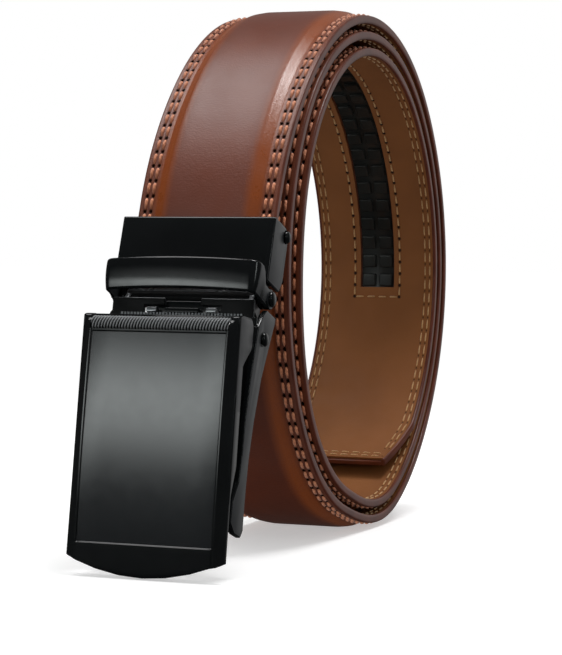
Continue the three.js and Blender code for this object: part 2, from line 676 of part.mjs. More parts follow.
function makeLid() {
  const inside = boxAt(2 * HALF_INSIDE, -LID_TOP - 1, LID_LUG_RADIUS * 2, -2 * EAR_DEPTH, LID_FACE - LID_PLATE);
  const recess = boxAt(PANEL_WIDTH, -PANEL_TOP, PANEL_DROP, LID_FACE - PANEL_RECESS, LID_FACE + 1);
  const seat = boxAt(ROLL_LENGTH - RIDGE_WIDTH, -LID_TOP - 1, ROLL_SINK + ROLL_RADIUS - LID_TOP,
    -1, LID_FACE + 1);
  const lugOuter = HALF_INSIDE - FIT_GAP - 0.1;
  const lug = bothSides([
    [-LID_LUG_RADIUS * 1.6, LID_FACE - LID_PLATE * 0.8],
    [LID_LUG_RADIUS * 1.6, LID_FACE - LID_PLATE * 0.8],
    [LID_LUG_RADIUS, 0],
    [-LID_LUG_RADIUS, 0]
  ], lugOuter - LID_LUG_THICKNESS, lugOuter);
  const eyes = roundBothSides(0, 0, LID_LUG_RADIUS, lugOuter - LID_LUG_THICKNESS, lugOuter);
  const hole = roundAcross(0, 0, LID_PIN_RADIUS + PIN_CLEARANCE, -HALF_INSIDE, HALF_INSIDE);
  const shell = lidBlock().intersect(lidSide()).subtract(inside).subtract(recess).subtract(seat);
  return joined([shell, knurledRoll(), lug, eyes]).subtract(hole);
}

const FINISHES = {
  leather: { color: 0x6e3a22, roughness: 0.38, metalness: 0 },
  lining: { color: 0x6a4a30, roughness: 0.7, metalness: 0 },
  nylon: { color: 0x121212, roughness: 0.5, metalness: 0 },
  black: { color: 0x0c0d0e, roughness: 0.22, metalness: 0.8 },
  steel: { color: 0x8f8f8f, roughness: 0.35, metalness: 1 }
};

function piece(name, solid, finish) {
  const mesh = new THREE.Mesh(toGeometry(solid), new THREE.MeshStandardMaterial(FINISHES[finish]));
  mesh.name = name;
  return mesh;
}

function hingedGroup(down, out, turned) {
  const group = new THREE.Group();
  group.position.set(0, -out, -down);
  group.rotation.x = turned * DEGREE;
  return group;
}

// Lid group, in the frame's group, in the group at the hinge, in the buckle's group at the mouth
function makeBuckle() {
  const lid = hingedGroup(LID_PIN_DROP, LID_PIN_OUT, LID_LIFT);
  lid.add(piece('lid', makeLid(), 'black'));
  const frame = hingedGroup(HINGE_DOWN, HINGE_OUT, 0);
  frame.add(
    piece('frame', makeFrame(), 'black'),
    piece('pawl_pin', makePawlPin(), 'black'),
    piece('pawl', makePawl(), 'steel'),
    piece('lid_pin', makeLidPin(), 'steel'),
    lid);
  const keeper = hingedGroup(HINGE_DOWN, HINGE_OUT, 0);
  keeper.add(piece('keeper_loop', makeKeeperLoop(), 'black'), piece('hinge_pin', makeHingePin(), 'black'));
  const buckle = new THREE.Group();
  buckle.position.copy(mouthPoint);
  buckle.rotation.x = -Math.atan2(mouthTangent.y, mouthTangent.z);
  buckle.add(
    piece('clamp_box', makeClampBox(), 'black'),
    piece('clamp_jaw', makeClampJaw(), 'black'),
    piece('jaw_pin', makeJawPin(), 'black'),
    keeper,
    frame);
  return buckle;
}

function makeBelt() {
  const belt = new THREE.Group();
  belt.add(
    piece('strap', makeStrap(), 'leather'),
    piece('lining', makeLining(), 'lining'),
    piece('ratchet_track', makeTrack(), 'nylon'),
    makeBuckle());
  belt.updateMatrixWorld(true);
  const box = new THREE.Box3().setFromObject(belt, true);
  const middle = box.getCenter(new THREE.Vector3());
  belt.position.set(-middle.x, -middle.y, -box.min.z);
  return belt;
}

export default makeBelt();
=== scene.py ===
"""Looks of a ratchet belt: a rolled leather strap with its stitches, lining and toothed track,
and a black plated buckle. Lengths are worked out in millimetres and built in metres."""

import json
import math

import bmesh
import bpy
import numpy as np
from mathutils import Matrix, Vector


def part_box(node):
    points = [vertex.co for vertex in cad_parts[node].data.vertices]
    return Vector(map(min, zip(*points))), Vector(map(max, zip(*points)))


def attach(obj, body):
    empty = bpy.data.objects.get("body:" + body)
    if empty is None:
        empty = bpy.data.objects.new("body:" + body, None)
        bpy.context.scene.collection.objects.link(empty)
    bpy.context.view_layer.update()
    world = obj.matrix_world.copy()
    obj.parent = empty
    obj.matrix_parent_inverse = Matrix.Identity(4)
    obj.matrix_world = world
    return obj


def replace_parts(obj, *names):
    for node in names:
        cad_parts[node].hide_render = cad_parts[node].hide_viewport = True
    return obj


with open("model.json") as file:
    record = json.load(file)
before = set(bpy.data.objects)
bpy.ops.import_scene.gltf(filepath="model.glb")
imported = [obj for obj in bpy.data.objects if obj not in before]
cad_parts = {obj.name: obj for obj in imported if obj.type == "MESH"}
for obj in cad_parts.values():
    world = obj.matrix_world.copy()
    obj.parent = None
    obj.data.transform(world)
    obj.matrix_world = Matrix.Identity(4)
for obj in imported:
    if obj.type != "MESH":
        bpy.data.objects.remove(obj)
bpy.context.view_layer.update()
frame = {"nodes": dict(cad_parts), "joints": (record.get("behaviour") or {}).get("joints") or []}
NODES = frame["nodes"]
JOINTS = {joint["name"]: joint for joint in frame["joints"]}

MM = 0.001
# Millimetres of belt to one unit of its map
MAP_SCALE = 10

# Strap and lining
STRAP_WIDTH = 35.0
STRAP_THICKNESS = 3.7
EDGE_THICKNESS = 2.2
LINING_THICKNESS = 1.0
MARGIN_WIDTH = 4.2
SHOULDER_WIDTH = 2.0
CROWN_WIDTH = 20.0
EDGE_ROUNDING = 0.4
EDGE_LIP = 0.75
TIP_CHAMFER_LENGTH = 17.0
TIP_CHAMFER_INSET = 3.8
GRIP_LENGTH = 16.6
HALF_STRAP = STRAP_WIDTH / 2

# Coil
COIL_CENTRE = (0.0, 16.559, 65.846)
COIL_RADIUS = 60.0
LAYER_PITCH = STRAP_THICKNESS + 0.3
MOUTH_TURN = 0.04
TIP_TURN = 2.672
STEP_DELAY = 0.012
STEP_TURNS = 0.11
FIRST_TURN = 0.0
TURN_SPACING = 0.125
# Distance from the coil's axis to the lining at every eighth of a turn, as a share of COIL_RADIUS
COIL_REACH = (
    1.052, 0.984, 0.987, 1.016, 1.032, 0.966, 0.932, 0.930,
    0.930, 0.974, 0.985, 1.011, 1.021, 0.958, 0.928, 0.898,
    0.857, 0.925, 0.983, 1.006, 1.010, 0.946, 0.900,
)

# Stitching
STITCH_PITCH = 3.9
STITCH_LENGTH = 3.3
STITCH_INSETS = (1.65, 3.05)
THREAD_RADIUS = 0.39
LINING_THREAD_RADIUS = 0.21
SEAM_PITCH = 3.4
# Fully dark share of a stitch hole, and how far the seam's holes reach past its ends
HOLE_CORE = 0.45
HOLE_REACH = 0.5

# Ratchet track
TRACK_WIDTH = 9.6
TRACK_LENGTH = 214.0
TRACK_TO_TIP = 61.0
TRACK_BASE = 0.5
TRACK_SEAM = 6.8
SEAM_DROP = 2.8
TOOTH_PITCH = 5.5
TOOTH_LENGTH = 3.6
TOOTH_HEIGHT = 0.9
TOOTH_WIDTH = 3.9
TOOTH_GROOVE = 1.1
TOOTH_CORNER = 0.5
TOOTH_SLOPE = 0.22
# Levels of a tooth: share of its height, and its size there
TOOTH_LEVELS = ((0.0, 1.04), (0.6, 1.0), (0.86, 0.96), (0.97, 0.88), (1.0, 0.76))

# Buckle
BUCKLE_WIDTH = 38.4
SIDE_WALL = 1.3
HALF_BUCKLE = BUCKLE_WIDTH / 2
BUCKLE_TILT = -19.376
LID_TILT = BUCKLE_TILT + 10.7
LID_TOP = 44.7
LID_CORNER_DROP = 10.0
LID_TIP_DROP = 14.4
LID_FACE = 5.0
LID_PLATE = 1.9
LID_BEVEL = 2.4
LID_BEVEL_DROP = 2.0
LID_BOW = 0.8
PANEL_TOP = 40.4
PANEL_DROP = 7.1
PANEL_RECESS = 0.35
PANEL_WIDTH = 32.6
PANEL_STEP = 0.15
ROLL_RADIUS = 1.5
ROLL_SINK = 0.8
ROLL_LENGTH = 33.6
ROLL_RIDGES = 46
RIDGE_RISE = 0.26
RIDGE_LEAN = 0.75
ROLL_SEAT_END = ROLL_SINK + 2 * ROLL_RADIUS - LID_TOP
PIN_CLEARANCE = 0.3

LID_WALL_DEPTH = 3.2
LID_TIP_DEPTH = 1.0
LID_WALL_END = -11.2
LID_TIP_START = -4.8
SATIN_END = 24.0
EAR_LENGTH = 11.0
EAR_DEPTH = 8.1
EAR_ROUNDING = 1.6
# The lid's ears: how far below the lid's top, as shares of EAR_LENGTH, and how deep, as shares
# of EAR_DEPTH
EAR_PROFILE = (
    (-0.05, 0.55), (0.0, 0.80), (0.05, 0.91), (0.12, 0.98), (0.18, 1.00), (0.45, 1.00),
    (0.55, 0.98), (0.64, 0.93), (0.80, 0.68), (1.00, 0.395),
)

# Keeper loop
LOOP_REACH = 12.2
LOOP_BOW = 1.65
LOOP_CORNER = 2.6
LOOP_BEND = 79.0
LOOP_ROUNDING = 0.55
LOOP_BACK_EDGE = 0.2
# How far the bar's face falls back and swells, as shares of the bar's width
LOOP_FALL = 0.118
LOOP_CROWN = 0.035
EYE_RADIUS = 2.4
# The keeper's upper and lower edges, down from the hinge pin, at distances out from it
LOOP_EDGES = (
    (0.96, -2.04, 2.16), (4.4, -2.5, 1.9), (5.6, -5.2, 1.6), (6.8, -6.1, 1.4), (12.2, -6.1, 1.3),
)

# Frame
WEB_TOP = 1.9
WEB_TOP_OUT = 5.9
WEB_SLOPE = 0.133
RIB_COUNT = 38
RIB_PITCH = 0.8
RIB_TOP = 5.2
RIB_LENGTH = 3.2
RIB_WIDTH = 0.44
RIB_RISE = 0.35
TAB_SPACING = 14.8
TAB_WIDTH = 2.6

# Floor and light
FLOOR_REACH = 30
FLOOR_BACK = 60
FRONT_DIM = 0.04
DIFFUSE_FILL = 0.54
WHITE = (1, 1, 1, 1)
BLACK = (0, 0, 0, 1)
PANEL_GLOW = (0.94, 1, 0.99, 1)
MIDDLE = (0.0, 0.0, 0.07)
LID_MIDDLE = (0, -0.085, 0.035)

# Camera, found from the photograph's edges
IMAGE_WIDTH = 562
FOCAL_PIXELS = 2159.553
CAMERA_PLACE = (193.643, -539.858, 3.452)
CAMERA_FORWARD = (-0.348679, 0.936828, -0.027860)
CAMERA_ROLL = 0.6851


def eased(value):
    """0 to 1 with a soft start and end."""
    share = np.clip(value, 0, 1)
    return share * share * (3 - 2 * share)


def form_at(turn):
    """The coil's reach at these turns, on a smooth curve through COIL_REACH."""
    table = np.array(COIL_REACH)
    place = np.clip((turn - FIRST_TURN) / TURN_SPACING, 0, len(table) - 1.001)
    row = np.floor(place).astype(int)
    share = place - row
    last = len(table) - 1
    before, start = table[np.maximum(row - 1, 0)], table[row]
    end, after = table[np.minimum(row + 1, last)], table[np.minimum(row + 2, last)]
    slope_start, slope_end = (end - before) / 2, (after - start) / 2
    bend = 2 * (start - end) + slope_start + slope_end
    lean = 3 * (end - start) - 2 * slope_start - slope_end
    return ((bend * share + lean) * share + slope_start) * share + start


def layers_under(turn):
    """How many turns of the belt lie inside the belt at these turns."""
    layers = np.zeros_like(turn)
    earlier = 1
    while earlier < TIP_TURN:
        layers += 1 - eased((turn - (TIP_TURN - earlier) - STEP_DELAY) / STEP_TURNS)
        earlier += 1
    return layers


TURNS = np.linspace(MOUTH_TURN, TIP_TURN, 20001)
RADII = COIL_RADIUS * form_at(TURNS) + LAYER_PITCH * layers_under(TURNS)
LINE = np.stack([-RADII * np.cos(2 * np.pi * TURNS), RADII * np.sin(2 * np.pi * TURNS)], 1)
STEPS = np.linalg.norm(np.diff(LINE, axis=0), axis=1)
ALONG = np.concatenate([[0], np.cumsum(STEPS)])
COIL_LENGTH = ALONG[-1]
HEADINGS = np.gradient(LINE, ALONG, axis=0)
HEADINGS /= np.linalg.norm(HEADINGS, axis=1)[:, None]
TRACK_END = COIL_LENGTH - TRACK_TO_TIP
TRACK_START = TRACK_END - TRACK_LENGTH


def on_coil(x, height, distance):
    """World points, in metres, of places on the flat belt: x across, height out from the lining's
    face, and distance along from the clamp's mouth."""
    places = (np.asarray(value, float) for value in (x, height, distance))
    x, height, distance = np.broadcast_arrays(*places)
    on = np.clip(distance, 0, COIL_LENGTH)
    line = np.stack([np.interp(on, ALONG, LINE[:, axis]) for axis in (0, 1)], -1)
    heading = np.stack([np.interp(on, ALONG, HEADINGS[:, axis]) for axis in (0, 1)], -1)
    line = line + heading * (distance - on)[..., None]
    outward = np.stack([-heading[..., 1], heading[..., 0]], -1)
    line = line + outward * height[..., None]
    chamfer = np.clip((distance - COIL_LENGTH + TIP_CHAMFER_LENGTH) / TIP_CHAMFER_LENGTH, 0, 1)
    narrow = 1 - chamfer * TIP_CHAMFER_INSET / HALF_STRAP
    return (np.stack([-x * narrow, line[..., 0], line[..., 1]], -1) + COIL_CENTRE) * MM


def top_height(x, along=0.0):
    """Height of the leather's outer face across the strap: margins, shoulders and crown."""
    away = np.abs(x)
    end = eased((COIL_LENGTH - along - MARGIN_WIDTH) / (1.5 * SHOULDER_WIDTH))
    shoulder_foot = HALF_STRAP - MARGIN_WIDTH
    shoulder_top = shoulder_foot - SHOULDER_WIDTH
    crown_edge = CROWN_WIDTH / 2 - SHOULDER_WIDTH
    rise = (STRAP_THICKNESS - EDGE_THICKNESS) * end
    height = EDGE_THICKNESS + 0.74 * rise * eased((shoulder_foot - away) / (SHOULDER_WIDTH * 1.35))
    height += 0.26 * rise * eased((shoulder_top + 0.8 - away) / (shoulder_top - crown_edge + 0.8))
    for inset in STITCH_INSETS:
        height -= 0.16 * np.exp(-((away - HALF_STRAP + inset) / 0.33) ** 2)
    height -= 0.10 * np.exp(-((away - shoulder_foot) / 0.4) ** 2)
    return height


def new_piece(name, points, faces, materials, face_slots=None, uvs=None, smooth=True):
    mesh = bpy.data.meshes.new(name)
    rows = [tuple(int(index) for index in face) for face in faces]
    mesh.from_pydata([tuple(point) for point in points], [], rows)
    for material in materials:
        mesh.materials.append(material)
    if face_slots is not None:
        mesh.polygons.foreach_set("material_index", np.asarray(face_slots, np.int32))
    if uvs is not None:
        layer = mesh.uv_layers.new(name="belt")
        corners = np.zeros(len(mesh.loops), np.int32)
        mesh.loops.foreach_get("vertex_index", corners)
        layer.data.foreach_set("uv", np.asarray(uvs, np.float32)[corners].ravel())
    mesh.polygons.foreach_set("use_smooth", np.full(len(mesh.polygons), smooth))
    mesh.validate()
    mesh.update()
    piece = bpy.data.objects.new(name, mesh)
    bpy.context.scene.collection.objects.link(piece)
    return piece


def loft_faces(rings, sides, first=0):
    """Faces of a tube of rings with that many points each, closed at both ends."""
    ring, side = np.meshgrid(np.arange(rings - 1), np.arange(sides), indexing="ij")
    here = first + ring * sides + side
    there = first + ring * sides + (side + 1) % sides
    walls = np.stack([here, there, there + sides, here + sides], -1).reshape(-1, 4).tolist()
    start = list(range(first + sides - 1, first - 1, -1))
    end = list(range(first + (rings - 1) * sides, first + rings * sides))
    return walls + [start, end]


def recalculated(piece):
    """Turns the faces of a closed piece outward."""
    work = bmesh.new()
    work.from_mesh(piece.data)
    bmesh.ops.recalc_face_normals(work, faces=work.faces)
    work.to_mesh(piece.data)
    work.free()
    return piece


# Materials

def linear(red, green, blue):
    """Linear colour of an sRGB colour given from 0 to 255."""
    return tuple((value / 255 / 12.92) if value <= 10 else ((value / 255 + 0.055) / 1.055) ** 2.4
                 for value in (red, green, blue)) + (1.0,)


class Nodes:
    """Short names for building one node tree."""

    def __init__(self, tree):
        self.tree = tree

    def add(self, kind, **values):
        node = self.tree.nodes.new(kind)
        for key, value in values.items():
            setattr(node, key, value)
        return node

    def link(self, source, target):
        self.tree.links.new(source, target)

    def math(self, operation, first, second=None):
        node = self.add("ShaderNodeMath", operation=operation)
        for index, value in enumerate((first, second)):
            if value is None:
                continue
            if isinstance(value, (int, float)):
                node.inputs[index].default_value = value
            else:
                self.link(value, node.inputs[index])
        return node.outputs[0]

    def times(self, first, second):
        return self.math("MULTIPLY", first, second)

    def minus(self, first, second):
        return self.math("SUBTRACT", first, second)

    def hypot(self, first, second):
        squares = [self.times(side, side) for side in (first, second)]
        return self.math("SQRT", self.math("ADD", *squares))

    def belt_map(self):
        split = self.add("ShaderNodeSeparateXYZ")
        self.link(self.add("ShaderNodeUVMap", uv_map="belt").outputs["UV"], split.inputs[0])
        return split.outputs

    def noise(self, scale, detail=3.0, coordinates=None, roughness=0.5):
        node = self.add("ShaderNodeTexNoise")
        node.inputs["Scale"].default_value = scale
        node.inputs["Detail"].default_value = detail
        node.inputs["Roughness"].default_value = roughness
        self.link(coordinates or self.place(), node.inputs["Vector"])
        return node.outputs["Fac"]

    def place(self):
        return self.add("ShaderNodeTexCoord").outputs["Object"]

    def ranged(self, value, low, high, to_low, to_high):
        node = self.add("ShaderNodeMapRange")
        self.link(value, node.inputs["Value"])
        sockets = ("From Min", "From Max", "To Min", "To Max")
        for socket, number in zip(sockets, (low, high, to_low, to_high)):
            node.inputs[socket].default_value = number
        return node.outputs["Result"]

    def mix(self, factor, first, second):
        node = self.add("ShaderNodeMix", data_type="RGBA")
        self.link(factor, node.inputs["Factor"])
        for socket, value in (("A", first), ("B", second)):
            slot = next(item for item in node.inputs if item.name == socket and item.type == "RGBA")
            if isinstance(value, tuple):
                slot.default_value = value
            else:
                self.link(value, slot)
        return next(item for item in node.outputs if item.type == "RGBA")

    def bump(self, height, distance, strength=1.0, below=None):
        node = self.add("ShaderNodeBump")
        node.inputs["Distance"].default_value = distance
        node.inputs["Strength"].default_value = strength
        self.link(height, node.inputs["Height"])
        if below is not None:
            self.link(below, node.inputs["Normal"])
        return node.outputs["Normal"]

    def color(self, value):
        self.link(value, self.shader.inputs["Base Color"])

    def roughness(self, value):
        self.link(value, self.shader.inputs["Roughness"])

    def normal(self, value):
        self.link(value, self.shader.inputs["Normal"])


def surface(name, **values):
    """A new material's nodes, with these values set on its shader."""
    material = bpy.data.materials.new(name)
    material.use_nodes = True
    nodes = Nodes(material.node_tree)
    nodes.material = material
    nodes.shader = material.node_tree.nodes["Principled BSDF"]
    for socket, value in values.items():
        nodes.shader.inputs[socket.replace("_", " ")].default_value = value
    return nodes


def belt_places(nodes):
    """Distance along and distance from the middle, in millimetres, from the belt's own map."""
    mapped = nodes.belt_map()
    along = nodes.times(mapped["X"], MAP_SCALE)
    away = nodes.math("ABSOLUTE", nodes.times(mapped["Y"], MAP_SCALE))
    return along, away


def stitch_holes(nodes, along, away, length, width, offset):
    """1 in each stitch hole of the two rows, falling to 0 outside it."""
    phase = nodes.minus(nodes.math("FRACT", nodes.math("DIVIDE", along, STITCH_PITCH)), 0.5)
    along_gap = nodes.math("DIVIDE", nodes.times(phase, STITCH_PITCH), length)
    holes = None
    for inset, shift in zip(STITCH_INSETS, (0.0, offset)):
        row = HALF_STRAP - inset - shift
        side_gap = nodes.math("DIVIDE", nodes.minus(away, row), width)
        hole = nodes.ranged(nodes.hypot(along_gap, side_gap), HOLE_CORE, 1.0, 1.0, 0.0)
        holes = hole if holes is None else nodes.math("MAXIMUM", holes, hole)
    return holes


def seam_holes(nodes, along, away):
    """1 in each hole of the seam round the ratchet track."""
    from_end = nodes.minus(along, TRACK_END + SEAM_DROP)
    phase = nodes.minus(nodes.math("FRACT", nodes.math("DIVIDE", from_end, SEAM_PITCH)), 0.5)
    to_hole = nodes.minus(0.5, nodes.math("ABSOLUTE", phase))
    along_gap = nodes.times(to_hole, SEAM_PITCH)
    gap = nodes.hypot(along_gap, nodes.minus(away, TRACK_SEAM))
    before = nodes.math("LESS_THAN", along, TRACK_END + SEAM_DROP + HOLE_REACH)
    after = nodes.math("GREATER_THAN", along, TRACK_START - SEAM_DROP - HOLE_REACH)
    near = nodes.times(before, after)
    return nodes.times(near, nodes.ranged(gap, 0.28, 0.6, 1.0, 0.0))


def leather():
    """Brown leather, burnished orange on the shoulders, with a fine crosswise grain."""
    nodes = surface("strap_leather", Coat_Roughness=0.32)
    along, away = belt_places(nodes)
    cloud = nodes.ranged(nodes.noise(26, 3), 0.35, 0.7, 0.0, 1.0)
    brown = nodes.mix(cloud, linear(108, 50, 28), linear(94, 42, 23))
    shoulder = nodes.ranged(nodes.math("ABSOLUTE", nodes.minus(away, 12.0)), 0.6, 3.0, 1.0, 0.0)
    burnished = nodes.mix(nodes.times(shoulder, 0.8), brown, linear(138, 66, 18))
    margin = nodes.ranged(away, 13.4, 14.4, 0.0, 0.8)
    edged = nodes.mix(margin, burnished, linear(108, 56, 36))
    holes = stitch_holes(nodes, along, away, 0.62, 0.5, 0.12)
    # Painted shade: the stitch holes are coloured near black for the shade that falls into them.
    nodes.color(nodes.mix(holes, edged, linear(16, 6, 3)))
    stretched = nodes.add("ShaderNodeCombineXYZ")
    nodes.link(nodes.times(along, 2.2), stretched.inputs[0])
    nodes.link(nodes.times(away, 0.9), stretched.inputs[1])
    grain = nodes.noise(1.0, 3, stretched.outputs[0], 0.6)
    fine = nodes.bump(grain, 0.00012, 0.5)
    pores = nodes.bump(nodes.noise(2400, 2), 0.00007, 0.5, fine)
    soft = nodes.bump(nodes.noise(300, 2), 0.0002, 0.18, pores)
    nodes.normal(nodes.bump(nodes.times(holes, -1.0), 0.0006, 1.0, soft))
    smooth = nodes.times(shoulder, 0.1)
    uneven = nodes.ranged(nodes.noise(160, 3), 0.3, 0.7, 0.36, 0.46)
    nodes.roughness(nodes.minus(uneven, smooth))
    gloss = nodes.minus(1.0, holes)
    nodes.link(nodes.times(gloss, 0.42), nodes.shader.inputs["Specular IOR Level"])
    nodes.link(nodes.times(gloss, 0.28), nodes.shader.inputs["Coat Weight"])
    return nodes.material


def edge_paint():
    nodes = surface("edge_paint", Roughness=0.36, Specular_IOR_Level=0.35)
    tone = nodes.ranged(nodes.noise(120, 2), 0.35, 0.65, 0.0, 1.0)
    nodes.color(nodes.mix(tone, linear(96, 46, 29), linear(80, 36, 22)))
    nodes.normal(nodes.bump(nodes.noise(500, 2), 0.0001, 0.25))
    return nodes.material


def lining_leather():
    nodes = surface("lining_leather", Specular_IOR_Level=0.15)
    along, away = belt_places(nodes)
    cloud = nodes.ranged(nodes.noise(50, 4), 0.35, 0.65, 0.0, 1.0)
    plain = nodes.mix(cloud, linear(124, 77, 41), linear(114, 70, 37))
    rows = stitch_holes(nodes, along, away, 0.42, 0.34, 0.0)
    seam = seam_holes(nodes, along, away)
    # Painted shade: the lining's stitch holes and the seam holes round the track are coloured dark for the
    # shade in them.
    row_holes_shaded = nodes.mix(nodes.times(rows, 0.7), plain, linear(50, 28, 12))
    nodes.color(nodes.mix(seam, row_holes_shaded, linear(28, 14, 7)))
    grain = nodes.bump(nodes.noise(1500, 2), 0.00005, 0.4)
    holes = nodes.math("MAXIMUM", rows, seam)
    nodes.normal(nodes.bump(nodes.times(holes, -1.0), 0.0002, 0.8, grain))
    nodes.roughness(nodes.ranged(nodes.noise(300, 2), 0.3, 0.7, 0.6, 0.72))
    return nodes.material


def thread(name, light, dark, painted_light_span):
    """Twisted thread, with painted light towards the upper end of each stitch, fading to painted shade at
    its lower end.
    """
    nodes = surface(name, Roughness=0.5, Sheen_Weight=0.25, Specular_IOR_Level=0.35)
    mapped = nodes.belt_map()
    # Painted light: each stitch fades from its lit tone at the upper end to its shaded tone at the lower
    # end.
    upper = nodes.ranged(mapped["X"], -0.9, 0.5, 1.0 - painted_light_span, 1.0)
    twist = nodes.math("ADD", nodes.times(mapped["X"], 9.0),
                       nodes.times(mapped["Y"], 6.283))
    strands = nodes.ranged(nodes.math("SINE", twist), -1.0, 1.0, 0.72, 1.0)
    nodes.color(nodes.mix(nodes.times(upper, strands), dark, light))
    nodes.normal(nodes.bump(strands, 0.00025, 0.6))
    return nodes.material


def nylon():
    nodes = surface("black_nylon", Specular_IOR_Level=0.45)
    tone = nodes.ranged(nodes.noise(90, 3), 0.35, 0.65, 0.0, 1.0)
    nodes.color(nodes.mix(tone, linear(34, 36, 34), linear(24, 26, 25)))
    nodes.roughness(nodes.ranged(nodes.noise(240, 2), 0.3, 0.7, 0.3, 0.4))
    nodes.normal(nodes.bump(nodes.noise(900, 2), 0.00006, 0.3))
    return nodes.material


def plated(name, light, dark, smoothest, roughest, metallic=0.0, gloss=0.5):
    """Plated metal: very faintly uneven in tone and gloss, with a fine grain."""
    nodes = surface(name, Metallic=metallic, Specular_IOR_Level=gloss)
    tone = nodes.ranged(nodes.noise(90, 2), 0.35, 0.65, 0.0, 1.0)
    nodes.color(nodes.mix(tone, light, dark))
    nodes.roughness(nodes.ranged(nodes.noise(400, 2), 0.3, 0.7, smoothest, roughest))
    nodes.normal(nodes.bump(nodes.noise(2500, 2), 0.00001, 0.2))
    return nodes.material


def knurled():
    """Black knurling, with a light grey painted highlight on the crests of its ridges."""
    nodes = surface("black_knurling", Specular_IOR_Level=0.5)
    phase = nodes.math("FRACT", nodes.belt_map()["X"])
    crest = nodes.math("ABSOLUTE", nodes.minus(phase, 0.5))
    # Painted highlight: the ridge crests are coloured light grey where they catch the light.
    crest_light = nodes.ranged(crest, 0.15, 0.42, 0.0, 1.0)
    nodes.color(nodes.mix(crest_light, linear(8, 9, 10), linear(150, 152, 154)))
    nodes.roughness(nodes.ranged(nodes.noise(400, 2), 0.3, 0.7, 0.26, 0.32))
    return nodes.material


LEATHER = leather()
EDGE = edge_paint()
LINING = lining_leather()
# Each thread gets a lit tone and a shaded tone of one colour, for the painted light along its stitches.
THREAD = thread("orange_thread", linear(214, 138, 98), linear(104, 46, 24), 0.8)
LINING_THREAD = thread("beige_thread", linear(184, 142, 90), linear(128, 90, 52), 0.45)
NYLON = nylon()
GLOSS = plated("black_gloss", linear(17, 19, 20), linear(14, 16, 17), 0.12, 0.15)
SATIN = plated("black_satin", linear(38, 40, 42), linear(34, 36, 38), 0.34, 0.38)
PANEL = plated("black_panel", linear(26, 28, 30), linear(24, 26, 28), 0.14, 0.16, gloss=0.6)
# Painted shade: darker and less glossy than the rest of the plating, for the web's front in the keeper's
# shadow.
DULL_SHADE = plated("black_dull_painted_shade", linear(8, 9, 10), linear(6, 7, 8), 0.45, 0.5, gloss=0.15)
# Painted highlight: light grey for the lit upper edge of the web and for its ribs.
RIDGE_HIGHLIGHT = plated("black_knurl", linear(104, 106, 108), linear(84, 86, 88), 0.26, 0.32, metallic=0.5)
STEEL = plated("plain_steel", linear(176, 178, 180), linear(160, 162, 164), 0.28, 0.34, metallic=1.0)


# Strap, lining and track

def strap_profile(along, shrink=0.0):
    """Outline of the leather and its painted edges at these distances along, from above the left
    edge to below it; shrink draws it in towards its middle."""
    face = HALF_STRAP - EDGE_ROUNDING
    side = np.linspace(10.8, face, 27)
    across = np.concatenate([-side[::-1], np.linspace(-10, 10, 15), side])
    turn = np.linspace(0, np.pi / 2, 4)[1:]
    inner = HALF_STRAP - EDGE_LIP
    edge_x = np.concatenate([face + EDGE_ROUNDING * np.sin(turn), [HALF_STRAP, HALF_STRAP],
                             face + EDGE_ROUNDING * np.cos(turn), [inner, inner]])
    edge_height = np.concatenate([EDGE_THICKNESS - EDGE_ROUNDING * (1 - np.cos(turn)), [1.5, 0.8],
                                  EDGE_ROUNDING * (1 - np.sin(turn)) + 0.02, [0.05, 0.6]])
    count = len(along)
    top = top_height(across[None], along[:, None])
    x = np.tile(np.concatenate([across, edge_x, -edge_x[::-1]]), (count, 1))
    edges = np.tile(np.concatenate([edge_height, edge_height[::-1]]), (count, 1))
    height = np.concatenate([top, edges], 1)
    middle = EDGE_THICKNESS / 2
    inward = np.asarray(shrink)[..., None] * np.ones((count, 1))
    x = np.sign(x) * np.maximum(np.abs(x) - inward, 0)
    height = middle + np.sign(height - middle) * np.maximum(np.abs(height - middle) - inward, 0.05)
    return x, height, len(across)


def make_strap():
    """The leather with its painted edges, as one long rounded body."""
    straight_end = COIL_LENGTH - TIP_CHAMFER_LENGTH
    turn = np.linspace(0, np.pi / 2, 5)
    body = np.concatenate([
        np.linspace(-GRIP_LENGTH, 0, 9)[:-1],
        np.linspace(0, straight_end, 680)[:-1],
        np.linspace(straight_end, COIL_LENGTH - EDGE_ROUNDING, 24)[:-1]])
    stations = np.concatenate([body, COIL_LENGTH - EDGE_ROUNDING * (1 - np.sin(turn))])
    shrink = np.concatenate([np.zeros(len(body)), EDGE_ROUNDING * (1 - np.cos(turn))])
    x, height, columns = strap_profile(stations, shrink)
    points = on_coil(x, height, stations[:, None]).reshape(-1, 3)
    sides = x.shape[1]
    paint = np.zeros((len(stations) - 1, sides), int)
    paint[:, columns - 1:] = 1
    paint[len(body) - 1:] = 1
    slots = np.append(paint.ravel(), [1, 1])
    uvs = np.stack([np.repeat(stations, sides), x.ravel()], 1) / MAP_SCALE
    faces = loft_faces(len(stations), sides)
    piece = new_piece("strap_leather_body", points, faces, [LEATHER, EDGE], slots, uvs)
    for polygon in piece.data.polygons[-2:]:
        polygon.use_smooth = False
    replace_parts(recalculated(piece), "strap")
    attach(piece, "belt")
    return piece


